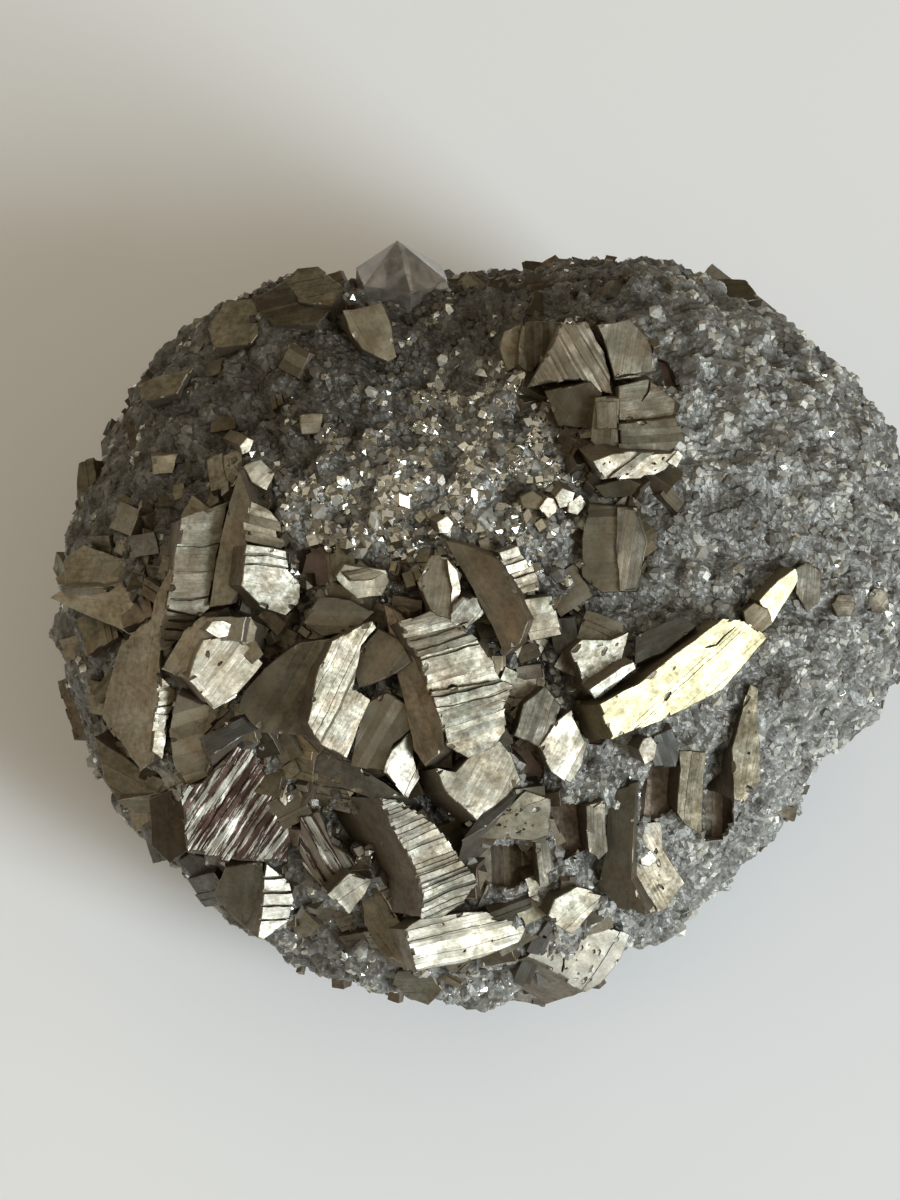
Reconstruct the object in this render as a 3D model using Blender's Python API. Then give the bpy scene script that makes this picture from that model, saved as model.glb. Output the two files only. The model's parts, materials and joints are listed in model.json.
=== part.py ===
"""Marcasite nodule: a rounded lump of iron sulphide, studded with striated block crystals.

The nodule is one grown mass, so it is one solid: a lumpy body with its crystals joined to it and its
pockets cut into it. A small quartz point of another mineral sits in a socket on its far rim.
Lengths are in metres. +Z is up, and the origin is on the small flat spot that the nodule rests on.

The crystals are laid out as they are seen from above the front. Their outlines are in pixels of that
view, 900 across and 1200 down, and NODULE_WIDTH gives them their real size.
"""

import math
import random
from typing import NamedTuple

import bmesh
import bpy
from mathutils import Matrix, Vector, noise

MM = 0.001

# Driving dimensions
NODULE_WIDTH = 0.070
FRONT_DEPTH = 20.5 * MM  # from the body's centre towards the viewer
BACK_DEPTH = 24.0 * MM  # from the body's centre away from the viewer
BACK_SKEW = 0.16  # share that the far side of the back is deeper, and the near side shallower
CENTRE_HEIGHT = 23.1 * MM  # the body's centre above the flat spot
ROUNDNESS = 2.3  # 2 is an ellipsoid, and more is boxier
LUMP_HEIGHT = 1.3 * MM
LUMP_WIDTH = 9.0 * MM
GRAIN_HEIGHT = 1.1 * MM
GRAIN_WIDTH = 2.6 * MM
BODY_CUTS = 15  # grid lines across each side of the cube that the body is rounded from
POCKET_FLOOR_SHARE = 0.85  # width of a pocket's floor, as a share of its mouth
POCKET_MOUTH_CLEAR = 6.0 * MM  # height of a pocket's cutter over the body
SOCKET_GAP = 0.3 * MM  # between the quartz point and its socket

# The view that the outlines are laid out in
VIEW_ELEVATION = math.radians(68)
VIEW_DISTANCE = 0.30
WIDTH_IN_PIXELS = 855
AIM_PIXEL = (450, 600)
CENTRE_PIXEL = (480, 635)
PIXEL = NODULE_WIDTH / WIDTH_IN_PIXELS
SEARCH_NEAR = 45 * MM  # a ray looks for the body from this far before the centre
SEARCH_FAR = 20 * MM  # to this far behind it
SEARCH_STEP = 0.15 * MM

RIGHT = Vector((1, 0, 0))
UP = Vector((0, math.sin(VIEW_ELEVATION), math.cos(VIEW_ELEVATION)))
TOWARD = Vector((0, -math.cos(VIEW_ELEVATION), math.sin(VIEW_ELEVATION)))
CENTRE = Vector((0, 0, CENTRE_HEIGHT))
AIM = CENTRE + (RIGHT * (AIM_PIXEL[0] - CENTRE_PIXEL[0]) + UP * (CENTRE_PIXEL[1] - AIM_PIXEL[1])) * PIXEL
EYE = AIM + TOWARD * VIEW_DISTANCE

# Reach of the body from its centre in that view, in millimetres, at even steps anticlockwise from the right
REACH = (34.6, 36.2, 35.4, 34.4, 30.4, 29.6, 32.4, 34.2, 34.4,
         33.8, 32.6, 31.0, 30.2, 29.8, 29.6, 28.2, 28.4, 29.8)

# Broad swells and hollows of the body: middle in pixels, half-width in pixels, and height in millimetres
SWELLS = (
    ("centre_hollow", (425, 385), 75, -2.6),
    ("left_hollow", (245, 425), 60, -1.4),
    ("far_rim_left", (290, 320), 45, 1.2),
    ("glitter_bank", (400, 500), 60, 1.0),
    ("far_cluster", (600, 390), 60, 1.6),
    ("crystal_ridge", (360, 680), 110, 1.4),
    ("square_step", (215, 650), 55, 1.2),
    ("right_shoulder", (800, 430), 110, 0.8),
    ("gold_shoulder", (680, 640), 70, 0.8),
    ("slotted_slope", (690, 800), 75, -1.2),
    ("foot_hollow", (320, 840), 45, -0.8),
)

# Block crystals on the hidden sides, in pairs
HIDDEN_PAIRS = 46
HIDDEN_SEED = 7
HIDDEN_SIZES = (4.5 * MM, 8.5 * MM)
HIDDEN_SUNK = 0.27  # share of a hidden crystal's size that its middle lies below the body's surface
HIDDEN_TILTS = (0.5, 0.3)  # most turn about its two level axes, in radians
HIDDEN_WIDTHS = (0.6, 1.0)  # width as a share of length
HIDDEN_HEIGHTS = (0.8, 1.2)
CORNER_CUT = 0.3  # share of the size that comes off one corner
TWIN_SHARE = 0.68  # size of a pair's second block, as a share of the first
TWIN_BESIDE = 0.50  # how far it stands beside the first, as a share of the first's size
OUT_OF_VIEW = -0.14  # a hidden crystal's direction turns this far from the viewer, as a cosine
FLAT_SPOT_CLEAR = 0.66  # a hidden crystal keeps this far off straight down, as a cosine
QUARTZ_CLEAR = 0.95  # and this far off the quartz point

# Quartz point: a six-sided prism with a pyramid on it
QUARTZ_PIXEL = (402, 296)
QUARTZ_LEAN = (0.03, 0.86, 0.42)  # parts of its axis to the right, up the view and towards the viewer
QUARTZ_TURN = math.radians(12)
QUARTZ_SUNK = 3.2 * MM
QUARTZ_SIDES = 6
QUARTZ_RADIUS = 4.0 * MM
QUARTZ_PRISM = 5.0 * MM
QUARTZ_TIP = 3.0 * MM
QUARTZ_TIP_SHIFT = 0.5 * MM

# Colour, metallic value, roughness and transmission
MARCASITE = ((0.36, 0.31, 0.23), 1.0, 0.38, 0.0)
QUARTZ = ((0.62, 0.58, 0.53), 0.0, 0.12, 0.85)


class Crystal(NamedTuple):
    """A block crystal: the outline of its face, and how that face and its walls stand."""

    name: str
    outline: tuple
    lean: tuple = (0.0, 0.0)  # slope of the face's normal to the right and up the view
    rise: float = 1.0  # millimetres that the face stands over the body
    run: tuple = None  # drift of the walls right and up for each unit down; square to the face if None
    depth: float = 8.0  # millimetres


CRYSTALS = (
    # Left edge
    Crystal("left_block_top", ((64, 560), (84, 545), (112, 556), (138, 563), (141, 588), (105, 589),
            (68, 587)), (-0.45, 0.30), 1.6),
    Crystal("left_block_front", ((52, 598), (66, 587), (106, 590), (120, 585), (143, 602), (144, 622),
            (132, 635), (98, 618)), (-0.20, -0.15), 2.0, depth=7.0),
    Crystal("long_column_top", ((183, 518), (228, 503), (220, 545), (207, 608), (199, 615), (168, 608),
            (177, 556)), (0.24, 0.05), 2.6),
    Crystal("long_column_foot", ((169, 611), (197, 616), (180, 640), (163, 655), (162, 625)),
            (0.18, -0.35), 2.2),
    Crystal("long_column_side", ((155, 600), (176, 556), (168, 612), (160, 650), (159, 700), (153, 758),
            (140, 769), (102, 718), (106, 694), (121, 645), (150, 622)), (-0.34, -0.08), 2.1),
    Crystal("column_edge", ((160, 676), (174, 690), (171, 705), (160, 759), (151, 750), (157, 705)),
            (0.42, -0.10), 2.0),
    Crystal("square_crystal", ((190, 679), (197, 654), (204, 640), (226, 635), (243, 641), (262, 662),
            (238, 692), (215, 707)), (0.34, 0.10), 4.2, (-0.30, 0.10)),
    Crystal("square_shoulder", ((163, 668), (184, 631), (203, 617), (246, 617), (241, 640), (205, 639),
            (195, 660), (189, 679)), (-0.35, 0.20), 3.6),
    Crystal("bright_ledge", ((247, 545), (286, 552), (287, 570), (300, 585), (298, 603), (286, 615),
            (262, 606), (241, 585)), (0.44, -0.12), 3.0, (-0.45, 0.0)),
    Crystal("ledge_side", ((239, 470), (250, 500), (246, 545), (241, 585), (231, 602), (209, 606),
            (217, 560), (229, 508)), (-0.25, 0.0), 2.4),
    Crystal("ledge_upper", ((247, 500), (263, 508), (276, 520), (283, 548), (249, 541), (246, 520)),
            (0.28, 0.15), 2.0),
    Crystal("pale_pentagon", ((245, 467), (261, 460), (275, 473), (267, 489), (252, 481)),
            (0.30, 0.05), 2.2, depth=5.0),
    Crystal("small_tile", ((151, 457), (177, 454), (171, 473), (152, 475)),
            (0.10, -0.20), 1.2, depth=4.0),
    Crystal("rim_plate", ((79, 463), (93, 459), (98, 501), (83, 512), (77, 494)),
            (-0.6, 0.1), 1.6, depth=6.0),
    Crystal("bed_left", ((178, 694), (213, 710), (240, 716), (203, 738), (222, 770), (190, 784),
            (174, 765), (171, 730)), (-0.10, -0.30), 1.8),
    Crystal("bed_middle", ((246, 690), (264, 668), (300, 643), (334, 640), (322, 668), (310, 712),
            (312, 737), (262, 732), (240, 706)), (-0.12, -0.18), 1.8),
    Crystal("grey_bar", ((201, 737), (250, 715), (259, 728), (238, 739), (212, 756)),
            (0.05, 0.30), 2.6, depth=6.0),
    Crystal("striped_crystal", ((181, 786), (203, 782), (226, 758), (245, 738), (262, 737), (306, 768),
            (292, 802), (287, 861), (240, 860), (188, 852)), (0.22, -0.20), 2.6, (-0.25, -0.15), 10.0),
    Crystal("heel_face", ((96, 738), (118, 755), (142, 772), (177, 785), (160, 794), (119, 801),
            (104, 776)), (-0.45, -0.35), 1.6),
    Crystal("heel_step", ((119, 801), (160, 794), (178, 794), (175, 804), (148, 813), (134, 813)),
            (-0.05, -0.55), 1.2, depth=5.0),
    Crystal("heel_knob", ((140, 817), (170, 812), (186, 840), (184, 858), (152, 862)),
            (-0.45, -0.55), 0.9, depth=5.0),
    Crystal("toe_left", ((179, 862), (190, 855), (219, 863), (222, 885), (207, 897)),
            (-0.25, -0.60), 1.0),
    Crystal("toe_olive", ((226, 867), (262, 864), (267, 892), (257, 937), (233, 917), (214, 894)),
            (-0.20, -0.50), 1.5),
    Crystal("stair_crystal", ((268, 864), (287, 880), (292, 900), (286, 922), (262, 939), (257, 937),
            (264, 892)), (0.46, -0.25), 1.8),
    Crystal("red_striated", ((299, 820), (318, 811), (332, 845), (358, 862), (347, 880), (330, 894),
            (302, 862)), (0.02, -0.30), 1.6),
    Crystal("grey_wedge", ((329, 894), (350, 874), (372, 880), (366, 893), (350, 913)),
            (0.30, -0.25), 2.2, depth=6.0),
    Crystal("dark_band", ((262, 733), (303, 747), (348, 760), (402, 796), (378, 800), (345, 787),
            (306, 766)), (-0.30, 0.20), 1.2),
    # Centre
    Crystal("cream_blade", ((372, 621), (376, 628), (362, 646), (353, 687), (370, 700), (358, 724),
            (347, 757), (320, 742), (309, 722), (320, 668), (333, 642)), (0.38, -0.10), 3.2,
            (-0.30, 0.0)),
    Crystal("brown_dome", ((379, 628), (399, 638), (411, 660), (396, 672), (360, 686), (356, 670),
            (364, 647)), (-0.16, 0.06), 1.8),
    Crystal("brown_gable", ((366, 704), (386, 694), (404, 704), (412, 726), (394, 744), (384, 771),
            (351, 766), (358, 724)), (-0.10, -0.16), 1.8),
    Crystal("white_shard", ((413, 729), (413, 757), (420, 779), (408, 798), (384, 772), (393, 750)),
            (0.46, -0.16), 3.2, (-0.2, 0.1), 7.0),
    Crystal("brown_plank", ((384, 604), (401, 614), (421, 655), (428, 688), (440, 706), (443, 750),
            (425, 766), (414, 750), (405, 700), (395, 660)), (-0.32, 0.0), 1.9),
    Crystal("terrace_high", ((399, 622), (428, 613), (452, 622), (478, 640), (420, 655), (410, 645)),
            (0.28, 0.10), 3.2),
    Crystal("terrace_middle", ((421, 656), (478, 640), (492, 663), (500, 680), (429, 692)),
            (0.26, -0.04), 2.9),
    Crystal("terrace_low", ((430, 693), (500, 681), (514, 687), (502, 712), (506, 730), (495, 745),
            (468, 757), (448, 745), (440, 715)), (0.30, -0.12), 2.6),
    Crystal("twin_left", ((419, 582), (431, 558), (447, 557), (460, 575), (452, 606), (450, 632),
            (430, 612)), (0.10, 0.10), 3.0),
    Crystal("twin_right", ((453, 606), (463, 598), (478, 599), (484, 614), (466, 628), (451, 633)),
            (0.22, -0.22), 3.1),
    Crystal("pale_tablet", ((337, 577), (345, 565), (386, 571), (390, 581), (382, 595), (358, 599),
            (345, 587)), (0.14, -0.10), 2.2),
    Crystal("saddle_brown", ((322, 598), (352, 601), (372, 612), (352, 630), (322, 636), (302, 622)),
            (-0.10, -0.10), 1.0),
    Crystal("long_blade", ((446, 541), (466, 545), (497, 559), (512, 582), (528, 620), (520, 642),
            (504, 656), (494, 630), (465, 575)), (-0.24, -0.06), 2.9),
    Crystal("blade_steps", ((492, 560), (515, 549), (530, 566), (540, 590), (518, 594), (508, 578)),
            (0.30, -0.06), 2.0),
    Crystal("pale_saddle", ((521, 600), (550, 597), (562, 633), (532, 641), (526, 622)),
            (0.22, -0.12), 1.8),
    Crystal("pale_shelf", ((572, 652), (584, 640), (612, 640), (627, 633), (621, 660), (605, 673),
            (585, 686)), (0.24, -0.06), 2.0),
    Crystal("beige_block", ((437, 769), (456, 772), (471, 755), (500, 741), (512, 756), (521, 780),
            (505, 796), (478, 819), (446, 791)), (0.26, 0.06), 3.0, (-0.35, -0.10)),
    Crystal("thin_ridge", ((463, 838), (482, 814), (520, 784), (525, 789), (488, 826)),
            (0.10, 0.50), 2.4, depth=6.0),
    Crystal("pitted_wedge", ((466, 838), (490, 824), (525, 792), (549, 800), (546, 842), (500, 839)),
            (0.14, -0.24), 1.8),
    Crystal("green_grey", ((515, 735), (524, 705), (545, 687), (561, 705), (555, 724), (540, 746)),
            (0.20, 0.0), 2.0),
    Crystal("pale_tongue", ((540, 746), (555, 723), (571, 711), (587, 745), (581, 766), (570, 782),
            (552, 770)), (0.24, -0.10), 2.2),
    Crystal("gold_blade", ((600, 705), (640, 684), (682, 650), (722, 619), (745, 621), (766, 637),
            (750, 656), (722, 690), (670, 716), (640, 727), (612, 739)), (0.42, -0.14), 3.0,
            (-0.40, -0.05)),
    Crystal("gold_tip", ((759, 600), (779, 581), (795, 569), (797, 581), (785, 601), (770, 626)),
            (0.42, -0.14), 1.5, depth=5.0),
    Crystal("thin_ledge", ((590, 690), (631, 662), (636, 667), (600, 697)),
            (0.42, -0.10), 2.2, depth=5.0),
    Crystal("grey_roof", ((636, 637), (680, 617), (696, 626), (663, 652), (636, 664)),
            (-0.10, 0.20), 1.4, depth=5.0),
    Crystal("brown_cube", ((744, 611), (755, 603), (768, 608), (771, 622), (760, 633), (747, 626)),
            (0.05, 0.0), 2.6, depth=5.0),
    Crystal("olive_patch", ((797, 570), (810, 563), (821, 575), (819, 602), (808, 611), (796, 594)),
            (0.12, -0.10), 1.0, depth=5.0),
    Crystal("ring_near", ((833, 604), (838, 595), (850, 594), (857, 604), (851, 616), (838, 616)),
            (0.2, 0.0), 1.0, depth=4.0),
    Crystal("ring_far", ((868, 600), (874, 590), (885, 591), (890, 602), (883, 612), (872, 611)),
            (0.3, 0.0), 1.0, depth=4.0),
    # Slotted front right
    Crystal("slot_cheek_right", ((751, 685), (758, 690), (760, 781), (742, 802), (734, 800), (732, 750),
            (742, 712)), (0.22, -0.06), 1.9),
    Crystal("slot_cheek_middle", ((680, 752), (706, 752), (703, 790), (701, 834), (683, 822), (677, 812),
            (682, 770)), (0.22, -0.20), 1.5),
    Crystal("slot_post", ((610, 791), (636, 784), (633, 830), (632, 880), (647, 913), (618, 906),
            (598, 885), (607, 850)), (-0.28, -0.14), 1.5),
    Crystal("cream_tooth", ((637, 824), (660, 823), (663, 850), (685, 884), (665, 906), (650, 914),
            (637, 890), (632, 850)), (0.30, -0.16), 2.1, (-0.25, 0.0)),
    Crystal("slot_rib", ((586, 806), (604, 800), (607, 850), (598, 858), (589, 852)),
            (0.20, -0.18), 1.4),
    Crystal("wall_rib", ((536, 842), (548, 838), (552, 868), (540, 886)), (0.24, -0.20), 1.8, depth=6.0),
    Crystal("under_gold", ((655, 736), (672, 728), (680, 748), (676, 766), (656, 768), (650, 752)),
            (0.10, -0.30), 1.0, depth=5.0),
    Crystal("front_chip", ((547, 916), (556, 899), (576, 889), (601, 895), (598, 906), (574, 932),
            (560, 926)), (0.34, -0.26), 1.8, depth=6.0),
    Crystal("front_bright", ((404, 930), (420, 919), (482, 912), (528, 924), (520, 942), (482, 957),
            (420, 971)), (0.42, -0.30), 3.0, (-0.35, -0.05)),
    Crystal("front_wall", ((370, 878), (388, 906), (404, 927), (417, 970), (384, 957), (367, 930),
            (362, 900)), (-0.30, -0.30), 1.9),
    Crystal("striated_main", ((380, 799), (396, 800), (435, 824), (451, 846), (476, 882), (465, 901),
            (444, 916), (423, 917), (419, 880), (404, 846)), (0.32, -0.14), 3.9, (-0.55, 0.0), 9.0),
    Crystal("right_front_bright", ((527, 956), (545, 938), (575, 929), (601, 924), (629, 935),
            (622, 956), (601, 981), (586, 991), (560, 974)), (0.40, -0.42), 2.4, (-0.40, -0.25)),
    Crystal("front_nub", ((400, 972), (430, 972), (440, 990), (426, 1006), (407, 998), (394, 985)),
            (-0.10, -0.7), 1.6, depth=6.0),
    # Upper right
    Crystal("tan_strip", ((504, 332), (521, 324), (523, 346), (516, 366), (508, 371), (501, 350)),
            (0.05, 0.10), 2.0),
    Crystal("brown_valley", ((523, 325), (561, 321), (553, 347), (531, 372), (519, 362)),
            (0.25, 0.25), 1.6),
    Crystal("fan_crystal", ((563, 324), (590, 324), (606, 350), (613, 392), (600, 391), (580, 377),
            (545, 381), (532, 384), (551, 350)), (0.16, 0.05), 2.8),
    Crystal("tan_cube", ((598, 325), (630, 319), (646, 336), (656, 371), (640, 376), (615, 379),
            (609, 350)), (0.10, 0.02), 3.0),
    Crystal("brown_under_fan", ((545, 392), (590, 383), (601, 396), (594, 431), (560, 426)),
            (-0.05, -0.25), 1.8),
    Crystal("olive_step", ((596, 400), (619, 398), (618, 452), (604, 457), (591, 441)),
            (-0.05, -0.15), 2.3),
    Crystal("striated_step", ((621, 424), (676, 419), (682, 438), (670, 453), (620, 452)),
            (0.05, -0.25), 2.5),
    Crystal("pink_step", ((619, 386), (648, 380), (676, 400), (673, 417), (621, 420)),
            (0.20, 0.05), 2.4),
    Crystal("silver_front", ((592, 462), (612, 455), (677, 452), (668, 467), (650, 476), (602, 479)),
            (0.36, -0.45), 2.3, depth=6.0),
    Crystal("brown_eave", ((596, 486), (626, 478), (642, 484), (630, 496), (606, 498)),
            (-0.05, -0.30), 1.5, depth=6.0),
    Crystal("orange_slab", ((590, 504), (636, 509), (646, 541), (636, 591), (604, 592), (584, 576),
            (582, 540)), (-0.10, -0.12), 1.6),
    Crystal("rim_slab", ((698, 279), (746, 281), (762, 299), (736, 303), (703, 297)),
            (0.0, 0.75), 1.0, depth=6.0),
    # Upper left
    Crystal("tan_gem", ((343, 312), (382, 304), (392, 330), (396, 356), (387, 361), (364, 350),
            (352, 334)), (0.15, 0.15), 2.0),
    Crystal("dark_hump", ((287, 283), (298, 268), (319, 267), (342, 286), (330, 305), (300, 300)),
            (-0.10, 0.75), 2.4),
    Crystal("olive_hump", ((208, 326), (226, 300), (252, 299), (268, 322), (250, 343), (216, 346)),
            (-0.30, 0.60), 1.8),
    Crystal("striped_shoulder", ((254, 299), (286, 283), (300, 300), (330, 306), (318, 326), (272, 322)),
            (-0.05, 0.45), 2.0),
    Crystal("bent_plate", ((138, 385), (158, 376), (192, 368), (176, 394), (146, 401)),
            (-0.35, 0.45), 1.2, depth=6.0),
    Crystal("brown_plate", ((300, 416), (322, 414), (320, 432), (302, 434)),
            (0.05, 0.0), 1.4, depth=4.0),
)

# Dark pockets between the crystals: outline in the same pixels, and depth below the body in millimetres
POCKETS = (
    ("main_cleft", ((371, 800), (386, 815), (402, 850), (419, 880), (421, 914), (400, 913), (384, 890),
                    (370, 868), (366, 830)), 5.0),
    ("near_slot", ((652, 762), (671, 745), (682, 770), (678, 812), (660, 823), (638, 821), (640, 790)),
     6.0),
    ("far_slot", ((703, 780), (733, 757), (737, 826), (725, 843), (702, 843)), 6.0),
    ("left_slot", ((551, 796), (584, 803), (589, 853), (562, 863), (549, 832)), 5.0),
    ("box_pocket", ((461, 846), (500, 841), (536, 846), (537, 886), (506, 892), (478, 880)), 5.0),
    ("round_pocket", ((528, 653), (547, 645), (572, 656), (583, 684), (572, 693), (545, 688), (530, 669)),
     4.0),
    ("small_slot", ((552, 596), (566, 599), (578, 631), (568, 638), (556, 624)), 3.0),
    ("beige_cleft", ((418, 782), (437, 771), (479, 820), (467, 838), (440, 822), (424, 802)), 4.0),
    ("green_cleft", ((506, 728), (518, 736), (545, 763), (549, 788), (528, 784), (512, 760)), 3.5),
    ("saddle_hole", ((292, 548), (328, 541), (336, 578), (318, 596), (298, 582)), 2.5),
    ("glitter_hole", ((326, 806), (371, 800), (374, 848), (352, 852), (330, 842)), 2.5),
    ("fan_crack", ((594, 330), (598, 328), (612, 352), (618, 388), (612, 393)), 3.5),
    ("cube_hole", ((656, 354), (669, 360), (682, 394), (666, 391)), 3.0),
    ("left_groove", ((142, 560), (153, 558), (154, 618), (144, 620)), 3.0),
    ("gold_cleft", ((578, 698), (600, 701), (610, 738), (602, 748), (588, 746)), 3.0),
    ("square_cleft", ((236, 604), (300, 616), (296, 640), (262, 660), (246, 640)), 2.0),
)


def smooth_reach(angle):
    """Reach of the body at an angle in the view, joined through REACH by a closed Catmull-Rom curve."""
    share = angle / math.tau % 1.0 * len(REACH)
    index = int(share)
    t = share - index
    a, b, c, d = (REACH[(index + k) % len(REACH)] for k in (-1, 0, 1, 2))
    curve = 2 * b + (c - a) * t + (2 * a - 5 * b + 4 * c - d) * t**2 + (3 * b - a - 3 * c + d) * t**3
    return curve / 2 * MM


def body_radius(direction):
    """Distance from the body's centre to its surface along a unit direction."""
    right, up, toward = direction.dot(RIGHT), direction.dot(UP), direction.dot(TOWARD)
    reach = smooth_reach(math.atan2(up, right))
    depth = FRONT_DEPTH if toward > 0 else BACK_DEPTH * (1 + BACK_SKEW * up)
    across = math.hypot(right, up) / reach
    smooth = (across**ROUNDNESS + (abs(toward) / depth) ** ROUNDNESS) ** (-1 / ROUNDNESS)
    spot = direction * smooth
    relief = LUMP_HEIGHT * noise.noise(spot / LUMP_WIDTH) + GRAIN_HEIGHT * noise.noise(spot / GRAIN_WIDTH)
    if toward > 0:
        for _, middle, half_width, height in SWELLS:
            x = (middle[0] - CENTRE_PIXEL[0]) * PIXEL
            y = (CENTRE_PIXEL[1] - middle[1]) * PIXEL
            apart = math.hypot(right * smooth - x, up * smooth - y) / (half_width * PIXEL)
            relief += height * MM * math.exp(-apart * apart)
    return smooth + relief


def ray_through(pixel):
    """Unit direction from the eye through a pixel of the view."""
    x, y = pixel
    target = AIM + (RIGHT * (x - AIM_PIXEL[0]) + UP * (AIM_PIXEL[1] - y)) * PIXEL
    return (target - EYE).normalized()


def surface_under(pixel):
    """The point of the body that shows at a pixel, or the nearest to it if the body ends before it."""
    ray = ray_through(pixel)
    closest = None
    distance = VIEW_DISTANCE - SEARCH_NEAR
    while distance < VIEW_DISTANCE + SEARCH_FAR:
        point = EYE + ray * distance
        out = point - CENTRE
        clearance = out.length - body_radius(out.normalized())
        if clearance <= 0:
            return point
        if closest is None or clearance < closest[0]:
            closest = (clearance, point)
        distance += SEARCH_STEP
    return closest[1]


def middle_of(outline):
    """The mean of an outline's pixels."""
    return tuple(sum(p[k] for p in outline) / len(outline) for k in (0, 1))


def prism(mesh, top, bottom):
    """A closed prism between two matching rings of points, facing out whichever way the rings turn."""
    upper = [mesh.verts.new(p) for p in top]
    lower = [mesh.verts.new(p) for p in bottom]
    faces = [mesh.faces.new(upper), mesh.faces.new(lower[::-1])]
    for k in range(len(top)):
        after = (k + 1) % len(top)
        faces.append(mesh.faces.new((upper[k], lower[k], lower[after], upper[after])))
    bmesh.ops.recalc_face_normals(mesh, faces=faces)


def crystal_rings(crystal):
    """The ring of a crystal's face, and the ring at the buried end of its walls."""
    normal = (TOWARD + RIGHT * crystal.lean[0] + UP * crystal.lean[1]).normalized()
    anchor = surface_under(middle_of(crystal.outline)) + TOWARD * crystal.rise * MM
    face = []
    for pixel in crystal.outline:
        ray = ray_through(pixel)
        face.append(EYE + ray * ((anchor - EYE).dot(normal) / ray.dot(normal)))
    if crystal.run is None:
        down = -normal
    else:
        down = (-TOWARD + RIGHT * crystal.run[0] + UP * crystal.run[1]).normalized()
    return face, [p + down * crystal.depth * MM for p in face]


def pocket_rings(outline, depth):
    """The ring of a pocket's mouth, clear of the body, and the ring of its floor, a little narrower."""
    middle = surface_under(middle_of(outline))
    mouth, floor = [], []
    for pixel in outline:
        ray = ray_through(pixel)
        point = EYE + ray * ((middle - EYE).dot(TOWARD) / ray.dot(TOWARD))
        mouth.append(point + TOWARD * POCKET_MOUTH_CLEAR)
        floor.append(middle.lerp(point, POCKET_FLOOR_SHARE) - TOWARD * depth * MM)
    return mouth, floor


def new_object(name, mesh, collection):
    """Turns a bmesh into an object of that name."""
    data = bpy.data.meshes.new(name)
    mesh.to_mesh(data)
    mesh.free()
    made = bpy.data.objects.new(name, data)
    collection.objects.link(made)
    return made


def helper(name, mesh, collection):
    """A shape that is only joined to or cut from another, and isn't shown."""
    made = new_object(name, mesh, collection)
    made.hide_render = True
    made.display_type = "WIRE"
    return made


def material(name, colour, metallic, roughness, transmission):
    """A plain material of that colour and surface."""
    made = bpy.data.materials.new(name)
    made.use_nodes = True
    shader = made.node_tree.nodes["Principled BSDF"]
    shader.inputs["Base Color"].default_value = (*colour, 1.0)
    shader.inputs["Metallic"].default_value = metallic
    shader.inputs["Roughness"].default_value = roughness
    shader.inputs["Transmission Weight"].default_value = transmission
    return made


def make_body(collection):
    """The lumpy mass that everything grows from: a gridded cube, pushed out to the body's surface."""
    mesh = bmesh.new()
    bmesh.ops.create_cube(mesh, size=2.0)
    bmesh.ops.subdivide_edges(mesh, edges=mesh.edges[:], cuts=BODY_CUTS, use_grid_fill=True)
    for vert in mesh.verts:
        direction = vert.co.normalized()
        vert.co = CENTRE + direction * body_radius(direction)
    return new_object("nodule", mesh, collection)


def hidden_block(place, size, chance):
    """A block with one corner cut off, tilted and stretched by chance."""
    tilt_x, tilt_y = (chance.uniform(-most, most) for most in HIDDEN_TILTS)
    tilt = Matrix.Rotation(tilt_x, 4, "X") @ Matrix.Rotation(tilt_y, 4, "Y")
    stretch = Matrix.Diagonal((1.0, chance.uniform(*HIDDEN_WIDTHS), chance.uniform(*HIDDEN_HEIGHTS), 1.0))
    mesh = bmesh.new()
    bmesh.ops.create_cube(mesh, size=size, matrix=place @ tilt @ stretch)
    corner = mesh.verts[:][chance.randrange(8)]
    bmesh.ops.bevel(mesh, geom=[corner], offset=size * CORNER_CUT, affect="VERTICES", segments=1)
    return mesh


def make_hidden_crystals(collection):
    """Pairs of blocks sunk into the far side and the underside, kept off the flat spot."""
    chance = random.Random(HIDDEN_SEED)
    golden_angle = math.pi * (3 - math.sqrt(5))
    towards_quartz = (surface_under(QUARTZ_PIXEL) - CENTRE).normalized()
    for k in range(HIDDEN_PAIRS):
        toward = OUT_OF_VIEW - (1 + OUT_OF_VIEW) * k / HIDDEN_PAIRS
        level = math.sqrt(1 - toward * toward)
        turn = golden_angle * k
        direction = (RIGHT * math.cos(turn) + UP * math.sin(turn)) * level + TOWARD * toward
        size = chance.uniform(*HIDDEN_SIZES)
        if -direction.z > FLAT_SPOT_CLEAR or direction.dot(towards_quartz) > QUARTZ_CLEAR:
            continue
        middle = CENTRE + direction * (body_radius(direction) - size * HIDDEN_SUNK)
        place = Matrix.Translation(middle) @ direction.to_track_quat("Z", "Y").to_matrix().to_4x4()
        place = place @ Matrix.Rotation(chance.uniform(0, math.tau), 4, "Z")
        helper(f"hidden_crystal_{k:02d}a", hidden_block(place, size, chance), collection)
        beside = Matrix.Translation((size * TWIN_BESIDE, 0, -size * (1 - TWIN_SHARE) / 4))
        helper(f"hidden_crystal_{k:02d}b", hidden_block(place @ beside, size * TWIN_SHARE, chance), collection)


def quartz_matrix():
    """Where the quartz point stands: on the far rim, leaning away from the viewer."""
    axis = (RIGHT * QUARTZ_LEAN[0] + UP * QUARTZ_LEAN[1] + TOWARD * QUARTZ_LEAN[2]).normalized()
    base = surface_under(QUARTZ_PIXEL) - axis * QUARTZ_SUNK
    turn = Matrix.Rotation(QUARTZ_TURN, 4, "Z")
    return Matrix.Translation(base) @ axis.to_track_quat("Z", "Y").to_matrix().to_4x4() @ turn


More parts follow.
